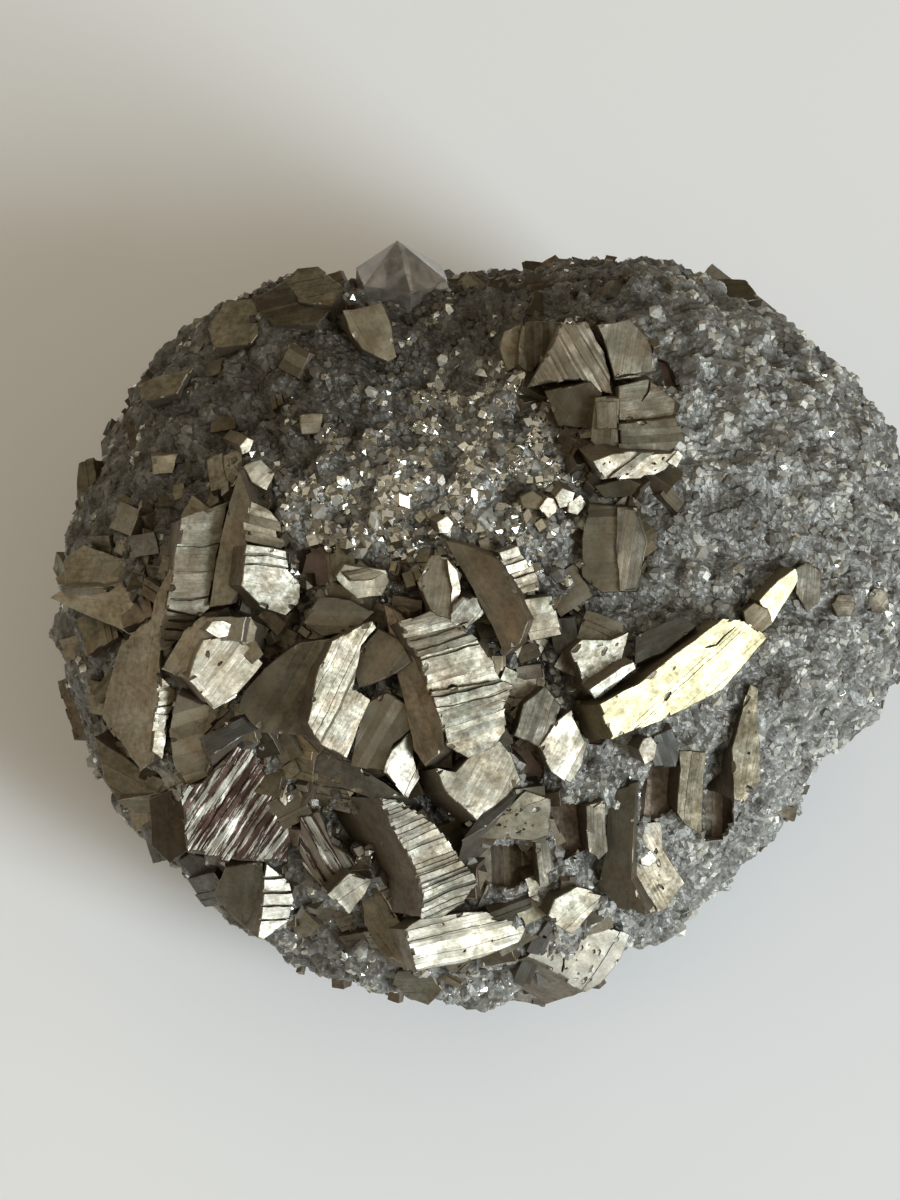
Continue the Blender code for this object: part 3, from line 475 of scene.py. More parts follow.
PLAIN_ZONE = Zone("plain", (0, 0), 1, 1.1, 0.08, 0.75)
PLAIN_SHARE = 0.2
ZONES = (
    Zone("glitter_middle", (446, 476), 90, 1.8, 1.10, 0.90),
    Zone("glitter_high", (432, 422), 32, 1.7, 1.30, 1.10),
    Zone("glitter_left", (375, 530), 56, 2.1, 1.30, 1.00),
    Zone("glitter_right", (545, 460), 60, 1.6, 0.70, 0.75),
    Zone("dark_left", (170, 420), 120, 1.1, 0.02, 0.16),
    Zone("dark_side", (78, 655), 75, 1.1, 0.03, 0.36),
    # painted shade: the hollow and the step in it lie in shade, and their grains are made darker for it
    Zone("dark_hollow", (382, 370), 92, 1.1, 0.01, 0.04),
    Zone("dark_step", (370, 398), 48, 1.1, 0.01, 0.02),
    Zone("dark_upper", (290, 335), 80, 1.2, 0.05, 0.16),
    # painted shade: the far rim slopes away and lies in shade, and its grains are made darker for it
    Zone("dark_rim", (490, 292), 60, 1.2, 0.01, 0.10),
    Zone("dark_rim_right", (590, 285), 60, 1.2, 0.02, 0.14),
    Zone("rim_corner", (690, 290), 45, 1.0, 0.02, 0.50),
    Zone("between", (420, 720), 110, 1.2, 0.25, 0.35),
    Zone("grey_right", (790, 470), 140, 1.15, 0.02, 0.64),
    Zone("blue_foot", (720, 860), 120, 1.0, 0.015, 0.86),
    Zone("blue_under", (300, 950), 120, 1.0, 0.20, 0.52),
    Zone("front_foot", (480, 985), 70, 1.1, 0.25, 0.90),
    Zone("sugar_patch", (612, 768), 32, 1.1, 0.04, 0.85),
    Zone("main_gaps", (348, 826), 32, 1.5, 1.0, 0.25),
)


class Crystal(NamedTuple):
    """A block crystal: the outline of its face, and how that face and its walls stand."""

    name: str
    outline: tuple
    lean: tuple = (0.0, 0.0)  # slope of the face's normal to the right and up the view
    rise: float = 1.0  # millimetres that the face stands over the body
    run: tuple = None  # drift of the walls right and up for each unit down; square to the face if None
    depth: float = 8.0  # millimetres


CRYSTALS = (
    # Left edge
    Crystal("left_block_top", ((64, 560), (84, 545), (112, 556), (138, 563), (141, 588), (105, 589),
            (68, 587)), (-0.45, 0.30), 1.6),
    Crystal("left_block_front", ((52, 598), (66, 587), (106, 590), (120, 585), (143, 602), (144, 622),
            (132, 635), (98, 618)), (-0.20, -0.15), 2.0, depth=7.0),
    Crystal("long_column_top", ((183, 518), (228, 503), (220, 545), (207, 608), (199, 615), (168, 608),
            (177, 556)), (0.24, 0.05), 2.6),
    Crystal("long_column_foot", ((169, 611), (197, 616), (180, 640), (163, 655), (162, 625)),
            (0.18, -0.35), 2.2),
    Crystal("long_column_side", ((155, 600), (176, 556), (168, 612), (160, 650), (159, 700), (153, 758),
            (140, 769), (102, 718), (106, 694), (121, 645), (150, 622)), (-0.34, -0.08), 2.1),
    Crystal("column_edge", ((160, 676), (174, 690), (171, 705), (160, 759), (151, 750), (157, 705)),
            (0.42, -0.10), 2.0),
    Crystal("square_crystal", ((190, 679), (197, 654), (204, 640), (226, 635), (243, 641), (262, 662),
            (238, 692), (215, 707)), (0.34, 0.10), 4.2, (-0.30, 0.10)),
    Crystal("square_shoulder", ((163, 668), (184, 631), (203, 617), (246, 617), (241, 640), (205, 639),
            (195, 660), (189, 679)), (-0.35, 0.20), 3.6),
    Crystal("bright_ledge", ((247, 545), (286, 552), (287, 570), (300, 585), (298, 603), (286, 615),
            (262, 606), (241, 585)), (0.44, -0.12), 3.0, (-0.45, 0.0)),
    Crystal("ledge_side", ((239, 470), (250, 500), (246, 545), (241, 585), (231, 602), (209, 606),
            (217, 560), (229, 508)), (-0.25, 0.0), 2.4),
    Crystal("ledge_upper", ((247, 500), (263, 508), (276, 520), (283, 548), (249, 541), (246, 520)),
            (0.28, 0.15), 2.0),
    Crystal("pale_pentagon", ((245, 467), (261, 460), (275, 473), (267, 489), (252, 481)), (0.30, 0.05),
            2.2, depth=5.0),
    Crystal("small_tile", ((151, 457), (177, 454), (171, 473), (152, 475)), (0.10, -0.20), 1.2,
            depth=4.0),
    Crystal("rim_plate", ((79, 463), (93, 459), (98, 501), (83, 512), (77, 494)), (-0.6, 0.1), 1.6,
            depth=6.0),
    Crystal("bed_left", ((178, 694), (213, 710), (240, 716), (203, 738), (222, 770), (190, 784),
            (174, 765), (171, 730)), (-0.10, -0.30), 1.8),
    Crystal("bed_middle", ((246, 690), (264, 668), (300, 643), (334, 640), (322, 668), (310, 712),
            (312, 737), (262, 732), (240, 706)), (-0.12, -0.18), 1.8),
    Crystal("grey_bar", ((201, 737), (250, 715), (259, 728), (238, 739), (212, 756)), (0.05, 0.30), 2.6,
            depth=6.0),
    Crystal("striped_crystal", ((181, 786), (203, 782), (226, 758), (245, 738), (262, 737), (306, 768),
            (292, 802), (287, 861), (240, 860), (188, 852)), (0.22, -0.20), 2.6, (-0.08, -0.06), 10.0),
    Crystal("heel_face", ((96, 738), (118, 755), (142, 772), (177, 785), (160, 794), (119, 801),
            (104, 776)), (-0.45, -0.35), 1.6),
    Crystal("heel_step", ((119, 801), (160, 794), (178, 794), (175, 804), (148, 813), (134, 813)),
            (-0.05, -0.55), 1.2, depth=5.0),
    Crystal("heel_knob", ((140, 817), (170, 812), (186, 840), (184, 858), (152, 862)), (-0.45, -0.55),
            0.9, depth=5.0),
    Crystal("toe_left", ((179, 862), (190, 855), (219, 863), (222, 885), (207, 897)), (-0.25, -0.60),
            1.0),
    Crystal("toe_olive", ((226, 867), (262, 864), (267, 892), (257, 937), (233, 917), (214, 894)),
            (-0.20, -0.50), 1.5),
    Crystal("stair_crystal", ((268, 864), (287, 880), (292, 900), (286, 922), (262, 939), (257, 937),
            (264, 892)), (0.46, -0.25), 1.8),
    Crystal("red_striated", ((299, 820), (318, 811), (332, 845), (358, 862), (347, 880), (330, 894),
            (302, 862)), (0.02, -0.30), 1.6),
    Crystal("grey_wedge", ((329, 894), (350, 874), (372, 880), (366, 893), (350, 913)), (0.30, -0.25),
            2.2, depth=6.0),
    Crystal("dark_band", ((262, 733), (303, 747), (348, 760), (402, 796), (378, 800), (345, 787),
            (306, 766)), (-0.30, 0.20), 1.2),
    # Centre
    Crystal("cream_blade", ((372, 621), (376, 628), (362, 646), (353, 687), (370, 700), (358, 724),
            (347, 757), (320, 742), (309, 722), (320, 668), (333, 642)), (0.38, -0.10), 3.2,
            (-0.30, 0.0)),
    Crystal("brown_dome", ((379, 628), (399, 638), (411, 660), (396, 672), (360, 686), (356, 670),
            (364, 647)), (-0.16, 0.06), 1.8),
    Crystal("brown_gable", ((366, 704), (386, 694), (404, 704), (412, 726), (394, 744), (384, 771),
            (351, 766), (358, 724)), (-0.10, -0.16), 1.8),
    Crystal("white_shard", ((413, 729), (413, 757), (420, 779), (408, 798), (384, 772), (393, 750)),
            (0.46, -0.16), 3.2, (-0.2, 0.1), 7.0),
    Crystal("brown_plank", ((384, 604), (401, 614), (421, 655), (428, 688), (440, 706), (443, 750),
            (425, 766), (414, 750), (405, 700), (395, 660)), (-0.32, 0.0), 1.9),
    Crystal("terrace_high", ((399, 622), (428, 613), (452, 622), (478, 640), (420, 655), (410, 645)),
            (0.28, 0.10), 3.2),
    Crystal("terrace_middle", ((421, 656), (478, 640), (492, 663), (500, 680), (429, 692)),
            (0.26, -0.04), 2.9),
    Crystal("terrace_low", ((430, 693), (500, 681), (514, 687), (502, 712), (506, 730), (495, 745),
            (468, 757), (448, 745), (440, 715)), (0.30, -0.12), 2.6),
    Crystal("twin_left", ((419, 582), (431, 558), (447, 557), (460, 575), (452, 606), (450, 632),
            (430, 612)), (0.10, 0.10), 3.0),
    Crystal("twin_right", ((453, 606), (463, 598), (478, 599), (484, 614), (466, 628), (451, 633)),
            (0.22, -0.22), 3.1),
    Crystal("pale_tablet", ((337, 577), (345, 565), (386, 571), (390, 581), (382, 595), (358, 599),
            (345, 587)), (0.14, -0.10), 2.2),
    Crystal("saddle_brown", ((322, 598), (352, 601), (372, 612), (352, 630), (322, 636), (302, 622)),
            (-0.10, -0.10), 1.0),
    Crystal("long_blade", ((446, 541), (466, 545), (497, 559), (512, 582), (528, 620), (520, 642),
            (504, 656), (494, 630), (465, 575)), (-0.24, -0.06), 2.9),
    Crystal("blade_steps", ((492, 560), (515, 549), (530, 566), (540, 590), (518, 594), (508, 578)),
            (0.30, -0.06), 2.0),
    Crystal("pale_saddle", ((521, 600), (550, 597), (562, 633), (532, 641), (526, 622)), (0.22, -0.12),
            1.8),
    Crystal("pale_shelf", ((572, 652), (584, 640), (612, 640), (627, 633), (621, 660), (605, 673),
            (585, 686)), (0.24, -0.06), 2.0),
    Crystal("beige_block", ((437, 769), (456, 772), (471, 755), (500, 741), (512, 756), (521, 780),
            (505, 796), (478, 819), (446, 791)), (0.26, 0.06), 3.0, (-0.35, -0.10)),
    Crystal("thin_ridge", ((463, 838), (482, 814), (520, 784), (525, 789), (488, 826)), (0.10, 0.50),
            2.4, depth=6.0),
    Crystal("pitted_wedge", ((466, 838), (490, 824), (525, 792), (549, 800), (546, 842), (500, 839)),
            (0.14, -0.24), 1.8),
    Crystal("green_grey", ((515, 735), (524, 705), (545, 687), (561, 705), (555, 724), (540, 746)),
            (0.20, 0.0), 2.0),
    Crystal("pale_tongue", ((540, 746), (555, 723), (571, 711), (587, 745), (581, 766), (570, 782),
            (552, 770)), (0.24, -0.10), 2.2),
    Crystal("gold_blade", ((600, 705), (640, 684), (682, 650), (722, 619), (745, 621), (766, 637),
            (750, 656), (722, 690), (670, 716), (640, 727), (612, 739)), (0.42, -0.14), 3.0,
            (-0.40, -0.05)),
    Crystal("gold_tip", ((759, 600), (779, 581), (795, 569), (797, 581), (785, 601), (770, 626)),
            (0.42, -0.14), 1.5, depth=5.0),
    Crystal("thin_ledge", ((590, 690), (631, 662), (636, 667), (600, 697)), (0.42, -0.10), 2.2,
            depth=5.0),
    Crystal("grey_roof", ((636, 637), (680, 617), (696, 626), (663, 652), (636, 664)), (-0.10, 0.20),
            1.4, depth=5.0),
    Crystal("brown_cube", ((744, 611), (755, 603), (768, 608), (771, 622), (760, 633), (747, 626)),
            (0.05, 0.0), 2.6, depth=5.0),
    Crystal("olive_patch", ((797, 570), (810, 563), (821, 575), (819, 602), (808, 611), (796, 594)),
            (0.12, -0.10), 1.0, depth=5.0),
    Crystal("ring_near", ((833, 604), (838, 595), (850, 594), (857, 604), (851, 616), (838, 616)),
            (0.2, 0.0), 1.0, depth=4.0),
    Crystal("ring_far", ((868, 600), (874, 590), (885, 591), (890, 602), (883, 612), (872, 611)),
            (0.3, 0.0), 1.0, depth=4.0),
    # Slotted front right
    Crystal("slot_cheek_right", ((751, 685), (758, 690), (760, 781), (742, 802), (734, 800), (732, 750),
            (742, 712)), (0.22, -0.06), 1.9),
    Crystal("slot_cheek_middle", ((680, 752), (706, 752), (703, 790), (701, 834), (683, 822), (677, 812),
            (682, 770)), (0.22, -0.20), 1.5),
    Crystal("slot_post", ((610, 791), (636, 784), (633, 830), (632, 880), (647, 913), (618, 906),
            (598, 885), (607, 850)), (-0.28, -0.14), 1.5),
    Crystal("cream_tooth", ((637, 824), (660, 823), (663, 850), (685, 884), (665, 906), (650, 914),
            (637, 890), (632, 850)), (0.30, -0.16), 2.1, (-0.25, 0.0)),
    Crystal("slot_rib", ((586, 806), (604, 800), (607, 850), (598, 858), (589, 852)), (0.20, -0.18), 1.4),
    Crystal("wall_rib", ((536, 842), (548, 838), (552, 868), (540, 886)), (0.24, -0.20), 1.8, depth=6.0),
    Crystal("under_gold", ((655, 736), (672, 728), (680, 748), (676, 766), (656, 768), (650, 752)),
            (0.10, -0.30), 1.0, depth=5.0),
    Crystal("front_chip", ((547, 916), (556, 899), (576, 889), (601, 895), (598, 906), (574, 932),
            (560, 926)), (0.34, -0.26), 1.8, depth=6.0),
    Crystal("front_bright", ((404, 930), (420, 919), (482, 912), (528, 924), (520, 942), (482, 957),
            (420, 971)), (0.42, -0.30), 3.0, (-0.35, -0.05)),
    Crystal("front_wall", ((370, 878), (388, 906), (404, 927), (417, 970), (384, 957), (367, 930),
            (362, 900)), (-0.30, -0.30), 1.9),
    Crystal("striated_main", ((380, 799), (396, 800), (435, 824), (451, 846), (476, 882), (465, 901),
            (444, 916), (423, 917), (419, 880), (404, 846)), (0.32, -0.14), 3.9, (-0.55, 0.0), 9.0),
    Crystal("right_front_bright", ((527, 956), (545, 938), (575, 929), (601, 924), (629, 935),
            (622, 956), (601, 981), (586, 991), (560, 974)), (0.40, -0.42), 2.4, (-0.40, -0.25)),
    Crystal("front_nub", ((400, 972), (430, 972), (440, 990), (426, 1006), (407, 998), (394, 985)),
            (-0.10, -0.7), 1.6, depth=6.0),
    # Upper right
    Crystal("tan_strip", ((504, 332), (521, 324), (523, 346), (516, 366), (508, 371), (501, 350)),
            (0.05, 0.10), 2.0),
    Crystal("brown_valley", ((523, 325), (561, 321), (553, 347), (531, 372), (519, 362)), (0.25, 0.25),
            1.6),
    Crystal("fan_crystal", ((563, 324), (590, 324), (606, 350), (613, 392), (600, 391), (580, 377),
            (545, 381), (532, 384), (551, 350)), (0.16, 0.05), 2.8),
    Crystal("tan_cube", ((598, 325), (630, 319), (646, 336), (656, 371), (640, 376), (615, 379),
            (609, 350)), (0.10, 0.02), 3.0),
    Crystal("brown_under_fan", ((545, 392), (590, 383), (601, 396), (594, 431), (560, 426)),
            (-0.05, -0.25), 1.8),
    Crystal("olive_step", ((596, 400), (619, 398), (618, 452), (604, 457), (591, 441)), (-0.05, -0.15),
            2.3),
    Crystal("striated_step", ((621, 424), (676, 419), (682, 438), (670, 453), (620, 452)), (0.05, -0.25),
            2.5),
    Crystal("pink_step", ((619, 386), (648, 380), (676, 400), (673, 417), (621, 420)), (0.20, 0.05), 2.4),
    Crystal("silver_front", ((592, 462), (612, 455), (677, 452), (668, 467), (650, 476), (602, 479)),
            (0.36, -0.45), 2.3, depth=6.0),
    Crystal("brown_eave", ((596, 486), (626, 478), (642, 484), (630, 496), (606, 498)), (-0.05, -0.30),
            1.5, depth=6.0),
    Crystal("orange_slab", ((590, 504), (636, 509), (646, 541), (636, 591), (604, 592), (584, 576),
            (582, 540)), (-0.10, -0.12), 1.6),
    Crystal("rim_slab", ((698, 279), (746, 281), (762, 299), (736, 303), (703, 297)), (0.0, 0.75), 1.0,
            depth=6.0),
    # Upper left
    Crystal("tan_gem", ((343, 312), (382, 304), (392, 330), (396, 356), (387, 361), (364, 350),
            (352, 334)), (0.15, 0.15), 2.0),
    Crystal("dark_hump", ((287, 283), (298, 268), (319, 267), (342, 286), (330, 305), (300, 300)),
            (-0.10, 0.75), 2.4),
    Crystal("olive_hump", ((208, 326), (226, 300), (252, 299), (268, 322), (250, 343), (216, 346)),
            (-0.30, 0.60), 1.8),
    Crystal("striped_shoulder", ((254, 299), (286, 283), (300, 300), (330, 306), (318, 326), (272, 322)),
            (-0.05, 0.45), 2.0),
    Crystal("bent_plate", ((138, 385), (158, 376), (192, 368), (176, 394), (146, 401)), (-0.35, 0.45),
            1.2, depth=6.0),
    Crystal("brown_plate", ((300, 416), (322, 414), (320, 432), (302, 434)), (0.05, 0.0), 1.4, depth=4.0),
)

# Dark pockets between the crystals: outline in the same pixels, and depth below the body in millimetres
POCKETS = (
    ("main_cleft", ((371, 800), (386, 815), (402, 850), (419, 880), (421, 914), (400, 913), (384, 890),
     (370, 868), (366, 830)), 5.0),
    ("near_slot", ((652, 762), (671, 745), (682, 770), (678, 812), (660, 823), (638, 821), (640, 790)),
     6.0),
    ("far_slot", ((703, 780), (733, 757), (737, 826), (725, 843), (702, 843)), 6.0),
    ("left_slot", ((551, 796), (584, 803), (589, 853), (562, 863), (549, 832)), 5.0),
    ("box_pocket", ((461, 846), (500, 841), (536, 846), (537, 886), (506, 892), (478, 880)), 5.0),
    ("round_pocket", ((528, 653), (547, 645), (572, 656), (583, 684), (572, 693), (545, 688),
     (530, 669)), 4.0),
    ("small_slot", ((552, 596), (566, 599), (578, 631), (568, 638), (556, 624)), 3.0),
    ("beige_cleft", ((418, 782), (437, 771), (479, 820), (467, 838), (440, 822), (424, 802)), 4.0),
    ("green_cleft", ((506, 728), (518, 736), (545, 763), (549, 788), (528, 784), (512, 760)), 3.5),
    ("saddle_hole", ((292, 548), (328, 541), (336, 578), (318, 596), (298, 582)), 2.5),
    ("glitter_hole", ((326, 806), (371, 800), (374, 848), (352, 852), (330, 842)), 2.5),
    ("fan_crack", ((594, 330), (598, 328), (612, 352), (618, 388), (612, 393)), 3.5),
    ("cube_hole", ((656, 354), (669, 360), (682, 394), (666, 391)), 3.0),
    ("left_groove", ((142, 560), (153, 558), (154, 618), (144, 620)), 3.0),
    ("gold_cleft", ((578, 698), (600, 701), (610, 738), (602, 748), (588, 746)), 3.0),
    ("square_cleft", ((236, 604), (300, 616), (296, 640), (262, 660), (246, 640)), 2.0),
)


class Detail(NamedTuple):
    """A crystal too small for the solids, on another crystal's face, or on the body if it has no host."""

    name: str
    host: str
    outline: tuple
    lean: tuple
    above: float  # millimetres over the host's face
    tints: tuple
    depth: float = 1.6  # millimetres


DETAILS = (
    Detail("white_lens", "square_shoulder", ((205, 630), (212, 622), (224, 621), (235, 626), (232, 634),
           (218, 637)), (0.35, -0.05), 0.5, ("white",)),
    Detail("yellow_cube", "square_crystal", ((240, 622), (251, 617), (257, 628), (254, 641), (243, 644),
           (237, 634)), (0.25, 0.10), 0.3, ("cream",), 3.0),
    Detail("cube_beside", "square_crystal", ((244, 644), (256, 641), (262, 654), (252, 662), (243, 655)),
           (0.12, 0.25), 0.1, ("tan",), 3.0),
    Detail("square_facet", "square_crystal", ((190, 681), (197, 677), (214, 698), (236, 687), (237, 696),
           (215, 709)), (0.44, -0.30), 0.05, ("white",), 2.0),
    Detail("low_left_chip", "bed_left", ((207, 773), (212, 757), (222, 760), (219, 775)), (0.36, -0.10),
           0.5, ("cream",)),
    Detail("left_ledge_rim", "left_block_front", ((62, 589), (104, 587), (122, 582), (126, 588),
           (104, 593), (66, 596)), (-0.05, -0.30), 0.15, ("pewter",)),
    Detail("white_blob", None, ((639, 750), (643, 741), (652, 738), (657, 746), (655, 757), (645, 763)),
           (0.30, -0.10), 2.6, ("white",), 4.0),
    Detail("chain_1", "front_wall", ((368, 874), (375, 870), (380, 878), (373, 882)), (0.40, -0.30), 0.5,
           ("white",)),
    Detail("chain_2", "front_wall", ((375, 883), (382, 880), (386, 887), (379, 891)), (0.45, -0.20), 0.5,
           ("white",)),
    Detail("chain_3", "front_wall", ((381, 892), (388, 889), (393, 896), (386, 900)), (0.38, -0.35), 0.5,
           ("white",)),
    Detail("chain_4", "front_wall", ((388, 901), (394, 898), (400, 906), (393, 910)), (0.44, -0.25), 0.5,
           ("white",)),
    Detail("left_glint", None, ((240, 445), (247, 437), (253, 440), (250, 450), (243, 453)),
           (0.42, -0.20), 1.4, ("white",), 4.0),
    Detail("rim_glint", None, ((349, 325), (354, 322), (357, 328), (352, 332)), (0.42, -0.20), 2.6,
           ("white",), 4.0),
    Detail("centre_glint", None, ((437, 523), (446, 517), (453, 524), (448, 533), (439, 533)),
           (0.40, -0.20), 1.4, ("white",), 4.0),
    Detail("tablet_top", "pale_tablet", ((345, 573), (366, 568), (385, 573), (372, 579), (352, 580)),
           (0.30, 0.20), 0.3, ("tan",)),
    Detail("twin_rim", "twin_left", ((448, 559), (457, 570), (460, 590), (455, 608), (450, 606),
           (452, 588), (449, 572)), (0.40, -0.10), 0.35, ("white",)),
    Detail("striped_corner", "striped_crystal", ((290, 752), (306, 768), (300, 780), (285, 806),
           (280, 800)), (0.36, -0.10), 0.25, ("pewter",)),
    Detail("slab_foot", "olive_step", ((597, 404), (617, 402), (617, 428), (598, 430)), (-0.02, -0.05),
           0.25, ("bronze",)),
    Detail("slab_side", "orange_slab", ((618, 508), (635, 510), (644, 541), (636, 589), (620, 590),
           (616, 550)), (0.0, -0.12), 0.25, ("satin", "bronze")),
    Detail("bright_foot", "silver_front", ((668, 462), (677, 451), (682, 456), (676, 468)),
           (0.42, -0.30), 0.3, ("white",)),
    Detail("gold_shelf", "gold_blade", ((590, 690), (622, 668), (634, 662), (636, 668), (604, 691),
           (596, 698)), (0.40, -0.25), -0.9, ("white",), 2.0),
    Detail("tooth_pebble", "cream_tooth", ((641, 855), (650, 850), (656, 858), (650, 866), (642, 864)),
           (0.38, -0.10), 0.35, ("white",)),
    Detail("heel_fill", None, ((150, 800), (178, 788), (187, 800), (187, 850), (170, 862), (152, 845)),
           (-0.25, -0.35), 1.9, ("umber",), 6.0),
    Detail("near_floor", None, ((640, 745), (671, 739), (684, 768), (682, 815), (662, 828), (634, 824),
           (636, 785)), (0.10, -0.10), -2.3, ("cocoa",), 3.0),
    Detail("far_floor", None, ((700, 760), (735, 750), (740, 828), (727, 848), (699, 846)),
           (0.12, -0.05), -2.6, ("cocoa", "umber"), 3.0),
    Detail("left_floor", None, ((549, 792), (587, 800), (592, 856), (562, 866), (546, 834)),
           (0.05, -0.10), -2.0, ("cocoa",), 3.0),
    Detail("box_floor", None, ((459, 844), (500, 838), (538, 843), (539, 888), (506, 895), (476, 882)),
           (0.10, 0.05), -1.6, ("umber", "olive"), 3.0),
    Detail("stack_1", "blade_steps", ((500, 553), (518, 547), (521, 555), (503, 560)), (0.38, -0.10),
           0.3, ("white",)),
    Detail("stack_2", "blade_steps", ((506, 566), (526, 560), (529, 568), (509, 574)), (0.36, -0.14),
           0.3, ("white",)),
    Detail("stack_3", "blade_steps", ((513, 579), (535, 573), (539, 581), (517, 588)), (0.38, -0.10),
           0.3, ("pewter",)),
    Detail("flake_1", None, ((540, 508), (549, 497), (558, 500), (556, 512), (548, 518)), (0.36, -0.20),
           1.0, ("cream",), 3.0),
    Detail("flake_2", None, ((556, 498), (563, 489), (575, 493), (571, 505), (560, 508)), (0.25, -0.32),
           1.3, ("pewter",), 3.0),
    Detail("flake_3", None, ((568, 504), (580, 496), (586, 504), (577, 514), (568, 512)), (0.42, -0.12),
           0.9, ("cream",), 3.0),
    Detail("upper_scale", None, ((520, 497), (533, 492), (545, 500), (537, 509), (523, 508)),
           (0.10, 0.10), 1.0, ("tan",), 4.0),
)

# Thin dark gaps in the faces: the crystal, the line in pixels, its width in pixels, its depth in millimetres
GAPS = (
    ("long_column_top", ((174, 546), (200, 547), (222, 543)), 1.6, 0.30),
    ("long_column_top", ((170, 598), (190, 600), (210, 596)), 2.2, 0.40),
    ("long_column_top", ((168, 573), (216, 570)), 0.9, 0.15),
    ("long_column_foot", ((168, 620), (194, 621)), 2.6, 0.45),
    ("long_column_foot", ((165, 629), (190, 631)), 2.6, 0.45),
    ("long_column_foot", ((164, 640), (182, 642)), 2.4, 0.40),
    ("column_edge", ((154, 706), (174, 705)), 1.8, 0.35),
    ("column_edge", ((154, 714), (172, 713)), 1.8, 0.35),
    ("bright_ledge", ((245, 555), (266, 555), (288, 560)), 3.0, 0.45),
    ("bright_ledge", ((244, 564), (266, 564), (290, 569)), 2.6, 0.45),
    ("fan_crystal", ((590, 322), (598, 340), (606, 352), (611, 374), (614, 394)), 3.0, 1.2),
    ("tan_cube", ((608, 379), (630, 375), (652, 374)), 2.6, 0.9),
    ("pink_step", ((651, 378), (648, 392), (642, 401)), 2.2, 0.6),
    ("gold_blade", ((705, 648), (716, 645), (724, 636), (736, 627)), 2.0, 0.30),
    ("terrace_high", ((410, 641), (432, 636), (468, 622)), 2.0, 0.30),
    ("terrace_high", ((412, 651), (436, 646), (478, 630)), 2.4, 0.35),
    ("terrace_middle", ((418, 661), (452, 651), (488, 641)), 2.4, 0.35),
    ("terrace_low", ((428, 697), (462, 691), (505, 680)), 3.0, 0.45),
    ("terrace_low", ((436, 708), (468, 702), (508, 690)), 1.8, 0.25),
    ("stair_crystal", ((258, 879), (290, 877)), 3.4, 0.55),
    ("stair_crystal", ((256, 893), (296, 891)), 3.4, 0.55),
    ("stair_crystal", ((254, 907), (298, 905)), 3.0, 0.55),
    ("stair_crystal", ((252, 921), (296, 919)), 2.6, 0.50),
    ("right_front_bright", ((560, 930), (566, 950), (562, 972)), 2.6, 0.40),
    ("slot_cheek_right", ((746, 786), (752, 792), (750, 800)), 5.0, 1.2),
)


def smooth_reach(angle):
    """Reach of the body at an angle in the view, joined through REACH by a closed Catmull-Rom curve."""
    share = angle / math.tau % 1.0 * len(REACH)
    index = int(share)
    t = share - index
    a, b, c, d = (REACH[(index + k) % len(REACH)] for k in (-1, 0, 1, 2))
    curve = 2 * b + (c - a) * t + (2 * a - 5 * b + 4 * c - d) * t**2 + (3 * b - a - 3 * c + d) * t**3
    return curve / 2 * MM


def body_radius(direction):
    """Distance from the body's centre to its surface along a unit direction."""
    right, up, toward = direction.dot(RIGHT), direction.dot(UP), direction.dot(TOWARD)
    reach = smooth_reach(math.atan2(up, right))
    depth = FRONT_DEPTH if toward > 0 else BACK_DEPTH * (1 + BACK_SKEW * up)
    across = math.hypot(right, up) / reach
    smooth = (across**ROUNDNESS + (abs(toward) / depth) ** ROUNDNESS) ** (-1 / ROUNDNESS)
    spot = direction * smooth
    relief = LUMP_HEIGHT * noise.noise(spot / LUMP_WIDTH) + GRAIN_HEIGHT * noise.noise(spot / GRAIN_WIDTH)
    if toward > 0:
        for _, middle, half_width, height in SWELLS:
            x = (middle[0] - CENTRE_PIXEL[0]) * PIXEL
            y = (CENTRE_PIXEL[1] - middle[1]) * PIXEL
            apart = math.hypot(right * smooth - x, up * smooth - y) / (half_width * PIXEL)
            relief += height * MM * math.exp(-apart * apart)
    return smooth + relief


def ray_through(pixel):
    """Unit direction from the eye through a pixel of the view."""
    x, y = pixel
    target = AIM + (RIGHT * (x - AIM_PIXEL[0]) + UP * (AIM_PIXEL[1] - y)) * PIXEL
    return (target - EYE).normalized()


def surface_under(pixel):
    """The point of the body that shows at a pixel, or the nearest to it if the body ends before it."""
    ray = ray_through(pixel)
    closest = None
    distance = VIEW_DISTANCE - SEARCH_NEAR
    while distance < VIEW_DISTANCE + SEARCH_FAR:
        point = EYE + ray * distance
        out = point - CENTRE
        clearance = out.length - body_radius(out.normalized())
        if clearance <= 0:
            return point
        if closest is None or clearance < closest[0]:
            closest = (clearance, point)
        distance += SEARCH_STEP
    return closest[1]


def leaning(lean):
    """The normal of a face that leans to the right and up the view."""
    return (TOWARD + RIGHT * lean[0] + UP * lean[1]).normalized()


def in_view(angle):
    """The direction at an angle in the view, anticlockwise from the right."""
    return RIGHT * math.cos(angle) + UP * math.sin(angle)


def mean(points):
    """The middle of some points."""
    return sum(points, Vector()) / len(points)


def sides_of(ring):
    """Each point of a closed ring, with the next one."""
    return zip(ring, ring[1:] + ring[:1])


def axes(x, y, z):
    """A turn whose axes are the three given ways."""
    return Matrix((x, y, z)).transposed().to_4x4()


def standing(point, axis, turn):
    """A frame at a point, with its height along an axis, turned about it."""
    place = Matrix.Translation(point) @ axis.to_track_quat("Z", "Y").to_matrix().to_4x4()
    return place @ Matrix.Rotation(turn, 4, "Z")


def on_plane(pixel, point, normal):
    """Where a pixel's ray meets a plane."""
    ray = ray_through(pixel)
    return EYE + ray * ((point - EYE).dot(normal) / ray.dot(normal))


def middle_of(outline):
    """The mean of an outline's pixels."""
    return tuple(sum(p[k] for p in outline) / len(outline) for k in (0, 1))


